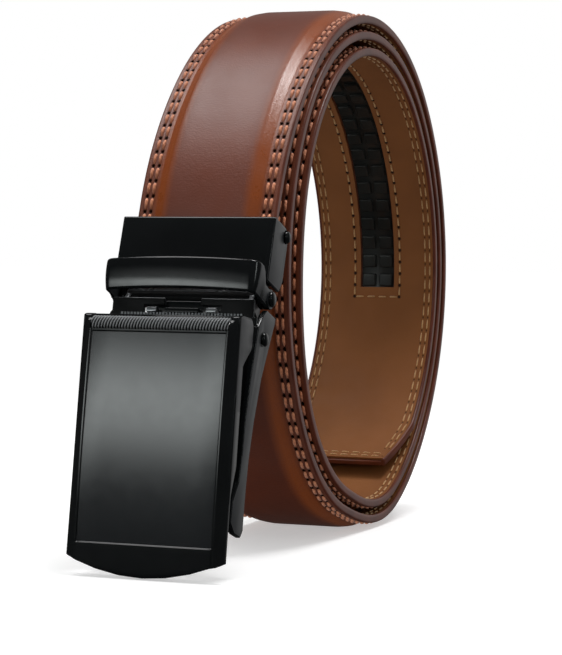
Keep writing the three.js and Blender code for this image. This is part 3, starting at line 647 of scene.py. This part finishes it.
def make_lining():
    """Lining sheet inside the painted lip of the edges, cut out round the track."""
    half = HALF_STRAP - EDGE_LIP
    thick = 0.55
    window = TRACK_WIDTH / 2 + 0.3
    across = np.concatenate([np.linspace(-half, -window, 14), np.linspace(window, half, 14)])
    stations = np.concatenate([
        np.linspace(-GRIP_LENGTH, 0, 5)[:-1],
        np.linspace(0, TRACK_START, 420)[:-1],
        np.linspace(TRACK_START, TRACK_END, 120)[:-1],
        np.linspace(TRACK_END, COIL_LENGTH - 0.5, 50)])
    columns = len(across)
    soft = -0.03 * np.exp(-((half - np.abs(across)) / 0.25) ** 2)
    face = on_coil(across[None], 0.02 - soft[None], stations[:, None])
    back = on_coil(across[None], thick, stations[:, None])
    points = np.concatenate([face.reshape(-1, 3), back.reshape(-1, 3)])
    behind = len(stations) * columns
    open_from = int(np.argmin(np.abs(stations - TRACK_START)))
    open_to = int(np.argmin(np.abs(stations - TRACK_END)))
    faces = []
    middle = columns // 2 - 1
    for row in range(len(stations) - 1):
        for column in range(columns - 1):
            if column == middle and open_from <= row < open_to:
                continue
            here = row * columns + column
            there = here + columns
            faces.append((here, here + 1, there + 1, there))
            faces.append((behind + here, behind + there, behind + there + 1, behind + here + 1))
    open_edges = {}
    for corners in faces:
        for index in range(4):
            edge = (corners[index], corners[(index + 1) % 4])
            open_edges[frozenset(edge)] = None if frozenset(edge) in open_edges else edge
    for edge in open_edges.values():
        if edge is not None and edge[0] < behind:
            faces.append((edge[1], edge[0], edge[0] + behind, edge[1] + behind))
    along = np.repeat(stations, columns) / MAP_SCALE
    x = np.tile(across, len(stations)) / MAP_SCALE
    uvs = np.tile(np.stack([along, x], 1), (2, 1))
    piece = new_piece("lining_sheet", points, faces, [LINING], uvs=uvs)
    piece.data.set_sharp_from_angle(angle=math.radians(40))
    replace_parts(recalculated(piece), "lining")
    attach(piece, "belt")
    return piece


def stitch_row(x_from, x_to, along_from, along_to, pitch=STITCH_PITCH):
    """Middles and directions of the stitches of one straight row, in the flat belt."""
    start, end = np.array([x_from, along_from]), np.array([x_to, along_to])
    run = np.linalg.norm(end - start)
    direction = (end - start) / run
    count = max(1, round(run / pitch))
    middles = start + direction * ((np.arange(count) + 0.5) * run / count)[:, None]
    return middles, np.tile(direction, (count, 1))


def edge_rows():
    """The two rows along each edge, one stitch to each pitch from the clamp's mouth."""
    count = int((COIL_LENGTH + GRIP_LENGTH - 4) / STITCH_PITCH)
    along = -STITCH_PITCH * int(GRIP_LENGTH / STITCH_PITCH) + STITCH_PITCH * np.arange(count)
    along = along[along < COIL_LENGTH - 3.2]
    rows = []
    for side in (-1, 1):
        for inset in STITCH_INSETS:
            middles = np.stack([np.full(len(along), side * (HALF_STRAP - inset)), along], 1)
            rows.append((middles, np.tile([0.0, 1.0], (len(along), 1))))
    return rows


def tip_rows():
    """The rows across the free end."""
    half = HALF_STRAP - STITCH_INSETS[0]
    return [stitch_row(-half + 0.8, half - 0.8, COIL_LENGTH - inset, COIL_LENGTH - inset)
            for inset in STITCH_INSETS]


def make_stitches(name, rows, surface_at, outward, radius, rise, length, stations, sides, material):
    """Short plump threads that rise out of one hole and dip into the next."""
    middles = np.concatenate([row[0] for row in rows])
    directions = np.concatenate([row[1] for row in rows])
    reach = np.linspace(-1, 1, stations)
    angle = np.arange(sides) * 2 * np.pi / sides
    body = radius * np.sqrt(np.clip(1 - reach ** 4, 0.03, 1)) * (1 + 0.12 * reach)
    lift = rise * (1 - reach ** 2) * (1 + 0.5 * reach) - 0.9 * radius * np.abs(reach) ** 3
    run = (reach * length / 2)[None, :, None]
    side = (body[:, None] * np.cos(angle))[None]
    height = (lift[:, None] + body[:, None] * np.sin(angle))[None]
    ahead_x, ahead = directions[:, 0, None, None], directions[:, 1, None, None]
    x = middles[:, 0, None, None] + ahead_x * run + ahead * side
    along = middles[:, 1, None, None] + ahead * run - ahead_x * side
    base = surface_at(middles[:, 0], middles[:, 1])[:, None, None]
    points = on_coil(x, base + outward * height, along).reshape(-1, 3)
    one = loft_faces(stations, sides)
    faces = []
    for index in range(len(middles)):
        first = index * stations * sides
        faces.extend([[point + first for point in face] for face in one])
    place = np.stack([np.repeat(reach, sides), np.tile(angle / (2 * np.pi), stations)], 1)
    piece = new_piece(name, points, faces, [material], uvs=np.tile(place, (len(middles), 1)))
    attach(recalculated(piece), "belt")
    return piece


def tooth_rings(centre, middle, foot):
    """Rings of one tooth: rounded corners, full height at its upper side and sloping down."""
    corners = 5
    turn = np.linspace(0, np.pi / 2, corners)
    rings = []
    for share, size in TOOTH_LEVELS:
        half_width, half_length = size * TOOTH_WIDTH / 2, size * TOOTH_LENGTH / 2
        radius = TOOTH_CORNER * size
        ring = []
        for number, (side_x, side_y) in enumerate(((1, 1), (-1, 1), (-1, -1), (1, -1))):
            bend = turn + number * np.pi / 2
            ring.append(np.stack([side_x * (half_width - radius) + radius * np.cos(bend),
                                  side_y * (half_length - radius) + radius * np.sin(bend)], 1))
        ring = np.concatenate(ring)
        slope = 1 - TOOTH_SLOPE * (ring[:, 1] / TOOTH_LENGTH + 0.5)
        rings.append(on_coil(centre + ring[:, 0], foot - share * TOOTH_HEIGHT * slope, middle + ring[:, 1]))
    return np.concatenate(rings), len(TOOTH_LEVELS), 4 * corners


def make_track():
    """Toothed nylon strip: two columns of teeth on a thin base."""
    base_low, base_high = LINING_THICKNESS - TRACK_BASE, LINING_THICKNESS
    half = TRACK_WIDTH / 2
    stations = np.linspace(TRACK_START, TRACK_END, 150)
    profile = np.array([[-half, base_high], [-half, base_low + 0.1], [-half + 0.1, base_low],
                        [half - 0.1, base_low], [half, base_low + 0.1], [half, base_high]])
    points = [on_coil(profile[None, :, 0], profile[None, :, 1], stations[:, None]).reshape(-1, 3)]
    faces = loft_faces(len(stations), len(profile))
    first = len(points[0])
    rows = int((TRACK_LENGTH - TOOTH_LENGTH) / TOOTH_PITCH) + 1
    for row in range(rows):
        middle = TRACK_END - TOOTH_LENGTH / 2 - 0.3 - row * TOOTH_PITCH
        for side in (-1, 1):
            centre = side * (TOOTH_WIDTH + TOOTH_GROOVE) / 2
            rings, levels, around = tooth_rings(centre, middle, base_low + 0.1)
            points.append(rings)
            faces.extend(loft_faces(levels, around, first))
            first += len(rings)
    piece = new_piece("track_strip", np.concatenate(points), faces, [NYLON])
    piece.data.set_sharp_from_angle(angle=math.radians(50))
    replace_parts(recalculated(piece), "ratchet_track")
    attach(piece, "belt")
    return piece


# Pieces of the buckle

def softened(node, name, width, body):
    """The CAD piece with its edges rounded, glossy all round and satin on its outer side walls."""
    work = bmesh.new()
    work.from_mesh(NODES[node].data)
    bmesh.ops.remove_doubles(work, verts=work.verts, dist=1e-6)
    bmesh.ops.dissolve_limit(work, angle_limit=math.radians(1), verts=work.verts, edges=work.edges)
    mesh = bpy.data.meshes.new(name)
    work.to_mesh(mesh)
    work.free()
    piece = bpy.data.objects.new(name, mesh)
    bpy.context.scene.collection.objects.link(piece)
    bevel = piece.modifiers.new("edges", "BEVEL")
    bevel.width = width * MM
    bevel.segments = 3
    bevel.limit_method = "ANGLE"
    bevel.angle_limit = math.radians(24)
    bevel.use_clamp_overlap = False
    finished(piece)
    piece.data.materials.append(GLOSS)
    piece.data.materials.append(SATIN)
    for polygon in piece.data.polygons:
        polygon.material_index = int(abs(polygon.normal.x) > 0.97)
    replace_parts(piece, node)
    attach(piece, body)
    return piece


def make_frame():
    """Side walls and web of the frame, with painted shade on the web's dull front and a painted highlight
    along the web's upper edge.
    """
    piece = softened("frame", "frame_shell", 0.3, "buckle_frame")
    piece.data.materials.append(DULL_SHADE)
    piece.data.materials.append(RIDGE_HIGHLIGHT)
    lip = from_hinge(0, WEB_TOP + 0.5, WEB_TOP_OUT)[2]
    for polygon in piece.data.polygons:
        if abs(polygon.center.x) < (HALF_BUCKLE - SIDE_WALL) * MM and polygon.normal.y < 0:
            # Painted shade on the web's front faces, and the light grey painted highlight on the faces of
            # its upper edge.
            if polygon.normal.y < -0.85:
                polygon.material_index = 2
            elif polygon.normal.z > 0.2 and polygon.center.z > lip:
                polygon.material_index = 3


def keeper_path():
    """The keeper's outline from above, from one arm round the bar to the other: x and out."""
    corner_x, corner_out = HALF_BUCKLE - LOOP_CORNER, LOOP_REACH - LOOP_BOW - LOOP_CORNER
    arm_out = np.array([row[0] for row in LOOP_EDGES[:-1]] + [corner_out])
    arm = np.stack([np.full(len(arm_out), HALF_BUCKLE), arm_out], 1)
    bend = np.radians(np.linspace(0, LOOP_BEND, 12)[1:])
    corner = np.stack([corner_x + LOOP_CORNER * np.cos(bend), corner_out + LOOP_CORNER * np.sin(bend)], 1)
    share = np.linspace(0, 1, 24)[1:, None]
    middle = np.array([0.0, LOOP_REACH])
    bar = corner[-1] + (middle - corner[-1]) * np.hstack([share, 1 - (1 - share) ** 2])
    right = np.concatenate([arm, corner, bar])
    return np.concatenate([right, right[-2::-1] * (-1, 1)])


def make_keeper():
    """Keeper loop: a bar with a softly rounded face, bent round into two arms with eyes."""
    path = keeper_path()
    heading = np.gradient(path, axis=0)
    heading /= np.linalg.norm(heading, axis=1)[:, None]
    inward = np.stack([-heading[:, 1], heading[:, 0]], 1)
    edges = np.array(LOOP_EDGES)
    top = np.interp(path[:, 1], edges[:, 0], edges[:, 1])[:, None]
    bottom = np.interp(path[:, 1], edges[:, 0], edges[:, 2])[:, None]
    turn = np.linspace(0, np.pi / 2, 6)[None]
    share = np.linspace(0, 1, 11)[None]
    face = LOOP_ROUNDING
    sag = (bottom - top) * (LOOP_FALL * share ** 2 - LOOP_CROWN * share)
    full = np.ones_like(top)
    back, near_back = full * SIDE_WALL, full * (SIDE_WALL - LOOP_BACK_EDGE)
    depth = np.hstack([
        sag, sag[:, -1:] + face * (1 - np.cos(turn)), near_back, back, back, near_back,
        face * (1 - np.sin(turn)) * full])
    down = np.hstack([
        top + face + share * (bottom - top - 2 * face), bottom - face * (1 - np.sin(turn)), bottom,
        bottom - LOOP_BACK_EDGE, top + LOOP_BACK_EDGE, top, top + face * (1 - np.cos(turn))])
    place = path[:, None, :] + inward[:, None, :] * depth[..., None]
    points = [from_hinge(place[..., 0], down, place[..., 1]).reshape(-1, 3)]
    faces = loft_faces(*down.shape)
    first = len(points[0])
    angle = np.arange(40) * 2 * np.pi / 40
    for side in (-1, 1):
        for near, size in ((HALF_BUCKLE - SIDE_WALL, 1.0), (HALF_BUCKLE - 0.2, 1.0), (HALF_BUCKLE, 0.93)):
            radius = size * EYE_RADIUS
            points.append(from_hinge(side * near, radius * np.sin(angle), radius * np.cos(angle)))
        faces.extend(loft_faces(3, len(angle), first))
        first += 3 * len(angle)
    piece = new_piece("keeper_bar", np.concatenate(points), faces, [GLOSS, SATIN])
    recalculated(piece)
    piece.data.set_sharp_from_angle(angle=math.radians(38))
    for polygon in piece.data.polygons:
        polygon.material_index = int(abs(polygon.normal.x) > 0.97)
    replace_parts(piece, "keeper_loop")
    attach(piece, "keeper")
    return piece


def from_hinge(x, down, out):
    """World points of places on the frame: across, down from the hinge pin, and out from it."""
    tilt = math.radians(BUCKLE_TILT)
    pin = JOINTS["frame_hinge"]["pos_m"]
    x, down, out = np.broadcast_arrays(*(np.asarray(value, float) for value in (x, down, out)))
    y = pin[1] + (down * math.sin(tilt) - out * math.cos(tilt)) * MM
    z = pin[2] - (down * math.cos(tilt) + out * math.sin(tilt)) * MM
    return np.stack([x * MM, y, z], -1)


def make_pawl():
    """Black pawl with two bright steel tabs."""
    piece = softened("pawl", "pawl_plate", 0.15, "buckle_frame")
    piece.data.materials.append(STEEL)
    inner, outer = (TAB_SPACING - TAB_WIDTH) / 2 - 0.2, (TAB_SPACING + TAB_WIDTH) / 2 + 0.2
    front = from_hinge(0, 5, WEB_TOP_OUT - 1.9)
    for polygon in piece.data.polygons:
        at_tab = inner < abs(polygon.center.x) / MM < outer and polygon.center.y < front[1]
        polygon.material_index = 2 if at_tab else 0
    return piece


def make_ribs():
    """Row of fine upright ribs on the web, just above the lid's edge."""
    points, faces = [], []
    for index in range(RIB_COUNT):
        middle = (index - (RIB_COUNT - 1) / 2) * RIB_PITCH
        x = middle + RIB_WIDTH / 2 * np.array([-1, 1, 1, -1, -1, 1, 1, -1])
        down = RIB_TOP + RIB_LENGTH * np.array([0, 0, 1, 1, 0.08, 0.08, 1, 1])
        proud = np.array([-1.0] * 4 + [RIB_RISE] * 4)
        first = 8 * index
        points.append(from_hinge(x, down, WEB_TOP_OUT - WEB_SLOPE * (down - WEB_TOP) + proud))
        sides = ((0, 1, 2, 3), (4, 7, 6, 5), (0, 4, 5, 1), (1, 5, 6, 2), (2, 6, 7, 3), (3, 7, 4, 0))
        faces.extend([[first + corner for corner in side] for side in sides])
    # The ribs are coloured with the light grey painted highlight.
    piece = new_piece("web_ribs", np.concatenate(points), faces, [RIDGE_HIGHLIGHT], smooth=False)
    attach(recalculated(piece), "buckle_frame")
    return piece


def finished(piece):
    """Applies the piece's modifiers and smooths its faces, except over sharp edges."""
    bpy.context.view_layer.update()
    made = bpy.data.meshes.new_from_object(piece.evaluated_get(bpy.context.evaluated_depsgraph_get()))
    piece.modifiers.clear()
    piece.data = made
    made.polygons.foreach_set("use_smooth", np.ones(len(made.polygons), bool))
    made.set_sharp_from_angle(angle=math.radians(35))
    return piece


def make_rivet(node, name, body):
    """A pin right across the buckle with a domed head at each end."""
    low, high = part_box(node)
    centre = (low + high) / 2
    head = (high.z - low.z) / 2 / MM
    end = high.x / MM
    seat = HALF_BUCKLE + PIN_CLEARANCE
    turn = np.linspace(0, np.pi / 2, 9)
    shank = head * 0.58
    half = [(shank, 0.0), (shank, seat - 0.1), (head * 0.97, seat - 0.1), (head, seat)]
    half += [(head * math.cos(bend), seat + (end - seat) * math.sin(bend)) for bend in turn[1:-1]]
    half += [(0.02, end)]
    line = [(radius, -x) for radius, x in reversed(half[1:])] + half
    sides = 32
    angle = np.arange(sides) * 2 * np.pi / sides
    rings = [np.stack([np.full(sides, x), centre.y / MM + radius * np.cos(angle),
                       centre.z / MM + radius * np.sin(angle)], 1) * MM for radius, x in line]
    piece = new_piece(name, np.concatenate(rings), loft_faces(len(line), sides), [GLOSS])
    piece.data.set_sharp_from_angle(angle=math.radians(50))
    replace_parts(recalculated(piece), node)
    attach(piece, body)
    return piece


def from_lid(x, down, out):
    """World points of places on the lid: across, down from its pin, and out from it."""
    tilt = math.radians(LID_TILT)
    y, z = -np.asarray(out, float), -np.asarray(down, float)
    pin = JOINTS["lid_hinge"]["pos_m"]
    turned_y = y * math.cos(tilt) - z * math.sin(tilt)
    turned_z = y * math.sin(tilt) + z * math.cos(tilt)
    x, turned_y, turned_z = np.broadcast_arrays(x, turned_y, turned_z)
    return np.stack([x * MM, pin[1] + turned_y * MM, pin[2] + turned_z * MM], -1)


def bowed(down):
    """How far the lid's face falls back towards its two ends."""
    middle = (LID_TIP_DROP - LID_TOP) / 2
    half = (LID_TIP_DROP + LID_TOP) / 2
    return LID_BOW * ((down - middle) / half) ** 2


def lid_back(down):
    """How far out the back edge of the lid's side walls lies, down along the lid."""
    edge = LID_FACE - LID_BEVEL_DROP
    rows = [(share * EAR_LENGTH - LID_TOP, edge - depth * EAR_DEPTH) for share, depth in EAR_PROFILE]
    rows += [(LID_WALL_END, edge - LID_WALL_DEPTH), (LID_TIP_START, edge - LID_TIP_DEPTH),
             (LID_TIP_DROP, edge - LID_TIP_DEPTH)]
    table = np.array(rows)
    return np.interp(down, table[:, 0], table[:, 1])


def lid_half_profile(down):
    """Section of the lid's right half: panel, groove, rim, bevel, side wall and inside."""
    crest = HALF_BUCKLE - LID_BEVEL
    panel = PANEL_WIDTH / 2
    inside = HALF_BUCKLE - SIDE_WALL
    low_edge = LID_FACE - LID_BEVEL_DROP
    from_top = down + LID_TOP
    below_top = eased((down + PANEL_TOP + PANEL_STEP) / (2 * PANEL_STEP))
    sunk = below_top * eased((PANEL_DROP + PANEL_STEP - down) / (2 * PANEL_STEP))
    floor = LID_FACE - PANEL_RECESS * sunk
    back = lid_back(down)
    plate = LID_FACE - LID_PLATE if down < 3 else back
    fall = LID_BEVEL_DROP * max(0, 1 - from_top / LID_BEVEL)
    corner = EAR_ROUNDING - math.sqrt(max(0, EAR_ROUNDING ** 2 - max(0, EAR_ROUNDING - from_top) ** 2))
    highest = LID_FACE - fall - corner * 0.8
    seat = down < ROLL_SEAT_END
    if seat:
        plate = LID_FACE - 2 * ROLL_RADIUS - LID_BOW - 0.3
        floor = plate + 0.3
    rim = floor if seat else floor + 0.04
    crest_out = min(LID_FACE, highest)
    groove = floor if seat else LID_FACE - 0.1
    slope = [(0.0, floor), (panel * 0.35, floor), (panel * 0.7, floor), (panel - 0.12, floor),
             (panel, rim), (panel + 0.06, groove), (panel + 0.22, groove if seat else LID_FACE - 0.01),
             (crest - 0.02, groove if seat else LID_FACE), (crest + 0.02, crest_out - 0.01),
             (crest + 0.25, crest_out - 0.12), (crest + 0.8, min(LID_FACE - 0.58, highest)),
             (crest + 1.6, min(LID_FACE - 1.25, highest)),
             (HALF_BUCKLE - 0.3, min(low_edge + 0.25, highest - 0.05)),
             (HALF_BUCKLE - 0.08, min(low_edge, highest - 0.15)),
             (HALF_BUCKLE, min(low_edge - 0.35, highest - 0.35))]
    wall = [(HALF_BUCKLE, back + 0.35), (HALF_BUCKLE - 0.1, back + 0.1), (HALF_BUCKLE - 0.35, back),
            (inside + 0.3, back), (inside, min(back + 0.3, plate)), (inside, plate), (crest - 0.1, plate),
            (0.0, plate)]
    return np.array(slope + wall), len(slope)


def make_lid():
    """Lid shell: bevelled front with a narrow rim round a bowed panel, side walls and ears."""
    stations = np.unique(np.concatenate([
        np.linspace(-LID_TOP, -LID_TOP + LID_BEVEL, 14),
        [ROLL_SEAT_END - 0.01, ROLL_SEAT_END + 0.01],
        np.linspace(-PANEL_TOP - PANEL_STEP, -PANEL_TOP + PANEL_STEP, 4),
        np.linspace(-PANEL_TOP + 0.5, PANEL_DROP - 0.5, 60),
        np.linspace(PANEL_DROP - PANEL_STEP, PANEL_DROP + PANEL_STEP, 4),
        np.linspace(PANEL_DROP + 0.4, LID_CORNER_DROP, 6)]))
    ends = 6
    rings = []
    for number in range(len(stations) + ends):
        share = max(0, number - len(stations) + 1) / ends
        down = stations[min(number, len(stations) - 1)]
        right, turn_at = lid_half_profile(down)
        loop = np.concatenate([right, right[-2:0:-1] * (-1, 1)])
        arc = (LID_TIP_DROP - LID_CORNER_DROP) * (1 - (loop[:, 0] / HALF_BUCKLE) ** 2)
        place = down + share * arc
        between = np.abs(loop[:, 0]) < HALF_BUCKLE - LID_BEVEL
        place = np.where(between, np.maximum(place, ROLL_SINK - LID_TOP), place)
        round_off = 0.5 * eased(share * ends - ends + 1) * (loop[:, 1] > LID_FACE - 0.8)
        front = np.clip(loop[:, 1] - (LID_FACE - LID_BEVEL_DROP), 0, 1)
        out = loop[:, 1] - bowed(place) * front - round_off
        rings.append(from_lid(loop[:, 0], place, out))
    sides = len(rings[0])
    slots = np.zeros((len(rings) - 1, sides), int)
    wall = turn_at - 1
    middle = stations[np.minimum(np.arange(len(rings) - 1), len(stations) - 1)]
    for column in (wall, sides - wall - 1):
        slots[middle < -SATIN_END, column] = 1
    in_panel = (middle > -PANEL_TOP + 0.1) & (middle < PANEL_DROP - 0.1)
    for column in (0, 1, 2, sides - 1, sides - 2, sides - 3):
        slots[in_panel, column] = 2
    piece = new_piece("lid_shell", np.concatenate(rings), loft_faces(len(rings), sides),
                      [GLOSS, SATIN, PANEL], np.append(slots.ravel(), [0, 0]))
    recalculated(piece)
    piece.data.set_sharp_from_angle(angle=math.radians(32))
    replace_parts(piece, "lid")
    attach(piece, "lid")
    return piece


def make_roll():
    """Knurled roll along the lid's upper edge."""
    columns, around = ROLL_RIDGES * 8, 48
    x = np.linspace(-ROLL_LENGTH / 2, ROLL_LENGTH / 2, columns)
    angle = np.arange(around) * 2 * np.pi / around
    down = ROLL_SINK + ROLL_RADIUS - LID_TOP
    out = LID_FACE - ROLL_RADIUS - bowed(down)
    phase = ROLL_RIDGES * (x[:, None] / ROLL_LENGTH) - RIDGE_LEAN * np.sin(angle)[None]
    ridge = RIDGE_RISE * (np.abs(np.mod(phase, 1) - 0.5) * 4 - 1)
    taper = 1 - 0.25 * (np.abs(x[:, None]) > ROLL_LENGTH / 2 - 0.1)
    radius = (ROLL_RADIUS - 0.1 + ridge) * taper
    points = from_lid(x[:, None], down - radius * np.sin(angle), out + radius * np.cos(angle)).reshape(-1, 3)
    place = np.stack([phase.ravel(), np.zeros(phase.size)], 1)
    piece = new_piece("lid_roll", points, loft_faces(columns, around), [knurled()], uvs=place)
    piece.data.set_sharp_from_angle(angle=math.radians(40))
    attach(recalculated(piece), "lid")
    return piece


def seam_rows():
    """The seam round the track: a row along each side and one across each end."""
    start, end = TRACK_START - SEAM_DROP, TRACK_END + SEAM_DROP
    sides = [stitch_row(x, x, start, end, SEAM_PITCH) for x in (-TRACK_SEAM, TRACK_SEAM)]
    ends = [stitch_row(-TRACK_SEAM, TRACK_SEAM, along, along, SEAM_PITCH) for along in (start, end)]
    return sides + ends


def flat(x, along):
    """Height that the lining's threads start from, 0 all over."""
    return np.zeros_like(x)


make_strap()
make_lining()
make_track()
make_stitches("strap_stitches", edge_rows() + tip_rows(), top_height, outward=1, radius=THREAD_RADIUS,
              rise=0.2, length=STITCH_LENGTH, stations=8, sides=8, material=THREAD)
make_stitches("lining_stitches", edge_rows() + tip_rows(), flat, outward=-1,
              radius=LINING_THREAD_RADIUS, rise=0.05, length=STITCH_LENGTH, stations=6, sides=6,
              material=LINING_THREAD)
make_stitches("track_seam", seam_rows(), flat, outward=-1, radius=LINING_THREAD_RADIUS * 1.15,
              rise=0.12, length=SEAM_PITCH * 0.8, stations=7, sides=7, material=LINING_THREAD)
softened("clamp_box", "clamp_shell", 0.5, "belt")
softened("clamp_jaw", "clamp_flap", 0.2, "jaw")
make_keeper()
make_frame()
make_pawl()
make_ribs()
make_rivet("jaw_pin", "jaw_rivet", "belt")
make_rivet("hinge_pin", "hinge_rivet", "belt")
make_rivet("pawl_pin", "pawl_rivet", "buckle_frame")
NODES["lid_pin"].data.materials.clear()
NODES["lid_pin"].data.materials.append(STEEL)
make_lid()
make_roll()


# Stage, light and camera

def make_floor():
    """A white floor that glows a little, so that it meets the white behind it, with soft shadows."""
    corners = [(-FLOOR_REACH, -FLOOR_REACH, 0), (FLOOR_REACH, -FLOOR_REACH, 0),
               (FLOOR_REACH, FLOOR_BACK, 0), (-FLOOR_REACH, FLOOR_BACK, 0)]
    floor = new_piece("floor", corners, [(0, 1, 2, 3)], [])
    nodes = surface("white_floor", Roughness=0.8, Specular_IOR_Level=0.1, Emission_Color=WHITE)
    far = nodes.add("ShaderNodeVectorMath", operation="LENGTH")
    nodes.link(nodes.place(), far.inputs[0])
    away = nodes.ranged(far.outputs["Value"], 0.15, 0.7, 0.0, 1.0)
    shade = nodes.ranged(away, 0.0, 1.0, 0.72, 0.0)
    paint = nodes.add("ShaderNodeCombineColor")
    for channel in paint.inputs:
        nodes.link(shade, channel)
    nodes.color(paint.outputs["Color"])
    nodes.link(nodes.ranged(away, 0.0, 1.0, 0.42, 1.0), nodes.shader.inputs["Emission Strength"])
    floor.data.materials.append(nodes.material)
    floor.visible_diffuse = False
    floor.visible_glossy = False


def make_world():
    """White behind the object, dim in front of it and dark below."""
    world = bpy.data.worlds.new("studio")
    bpy.context.scene.world = world
    world.use_nodes = True
    nodes = Nodes(world.node_tree)
    background = world.node_tree.nodes["Background"]
    direction = nodes.add("ShaderNodeSeparateXYZ")
    nodes.link(nodes.add("ShaderNodeTexCoord").outputs["Generated"], direction.inputs[0])
    behind = nodes.ranged(direction.outputs["Y"], 0.6, 0.95, 0.0, 1.0)
    sideways = nodes.ranged(direction.outputs["X"], -0.1, 0.3, 0.25, 0.7)
    behind = nodes.math("ADD", nodes.times(behind, sideways), FRONT_DIM)
    above = nodes.ranged(direction.outputs["Z"], -0.35, 0.1, 0.12, 1.0)
    around = nodes.times(behind, above)
    path = nodes.add("ShaderNodeLightPath")
    even = nodes.times(path.outputs["Is Diffuse Ray"], DIFFUSE_FILL)
    lit = nodes.math("MAXIMUM", around, even)
    nodes.link(nodes.math("MAXIMUM", lit, path.outputs["Is Camera Ray"]), background.inputs["Strength"])
    background.inputs["Color"].default_value = WHITE


def soft_panel(name, place, target, width, height, strength):
    """A glowing sheet, brightest in its middle and fading out towards its edges."""
    corners = [(-width / 2, -height / 2, 0), (width / 2, -height / 2, 0),
               (width / 2, height / 2, 0), (-width / 2, height / 2, 0)]
    sheet = new_piece(name, corners, [(0, 1, 2, 3)], [])
    nodes = surface(name, Roughness=1.0, Specular_IOR_Level=0.0, Base_Color=BLACK,
                    Emission_Color=PANEL_GLOW)
    split = nodes.add("ShaderNodeSeparateXYZ")
    nodes.link(nodes.place(), split.inputs[0])
    glow = None
    for axis, reach in (("X", width / 2), ("Y", height / 2)):
        share = nodes.math("DIVIDE", split.outputs[axis], reach)
        inner = nodes.ranged(nodes.times(share, share), 0.0, 1.0, 1.0, 0.0)
        fade = nodes.math("POWER", inner, 2.0)
        glow = fade if glow is None else nodes.times(glow, fade)
    nodes.link(nodes.times(glow, strength), nodes.shader.inputs["Emission Strength"])
    sheet.data.materials.append(nodes.material)
    sheet.location = place
    sheet.rotation_euler = (Vector(place) - Vector(target)).to_track_quat("Z", "Y").to_euler()


def soft_box(name, place, target, width, height, power):
    """A rectangular lamp, with its power in watts."""
    light = bpy.data.lights.new(name, "AREA")
    light.shape = "RECTANGLE"
    light.size, light.size_y = width, height
    light.energy = power
    lamp = bpy.data.objects.new(name, light)
    lamp.location = place
    lamp.rotation_euler = (Vector(target) - Vector(place)).to_track_quat("-Z", "Y").to_euler()
    bpy.context.scene.collection.objects.link(lamp)


def make_camera():
    """Camera at the photograph's place, turned by its small roll."""
    camera = bpy.data.cameras.new("camera")
    camera.sensor_fit = "HORIZONTAL"
    camera.lens = camera.sensor_width * FOCAL_PIXELS / IMAGE_WIDTH
    camera.clip_start, camera.clip_end = 0.05, 200
    holder = bpy.data.objects.new("camera", camera)
    bpy.context.scene.collection.objects.link(holder)
    forward = Vector(CAMERA_FORWARD).normalized()
    right = forward.cross(Vector((0, 0, 1))).normalized()
    up = right.cross(forward)
    roll = math.radians(CAMERA_ROLL)
    turned_right = right * math.cos(roll) + up * math.sin(roll)
    turned_up = up * math.cos(roll) - right * math.sin(roll)
    axes = Matrix((turned_right, turned_up, -forward)).transposed()
    place = (Vector(CAMERA_PLACE) + Vector(COIL_CENTRE)) * MM
    holder.matrix_world = Matrix.Translation(place) @ axes.to_4x4()
    bpy.context.scene.camera = holder


make_floor()
make_world()
soft_box("overhead", (-0.45, -0.08, 1.25), MIDDLE, width=0.8, height=0.55, power=6)
soft_box("right_key", (0.32, 0.12, 1.25), MIDDLE, width=0.3, height=0.5, power=9)
soft_panel("front_band", (-0.62, -1.5, 0.43), LID_MIDDLE, width=3.0, height=0.33, strength=5.4)
soft_panel("front_glow", (-0.6, -1.55, 0.6), LID_MIDDLE, width=3.0, height=0.8, strength=0.7)
soft_panel("right_strip", (1.25, -0.3, 0.55), MIDDLE, width=0.14, height=0.9, strength=8.0)
make_camera()
bpy.context.scene.view_settings.view_transform = "Standard"
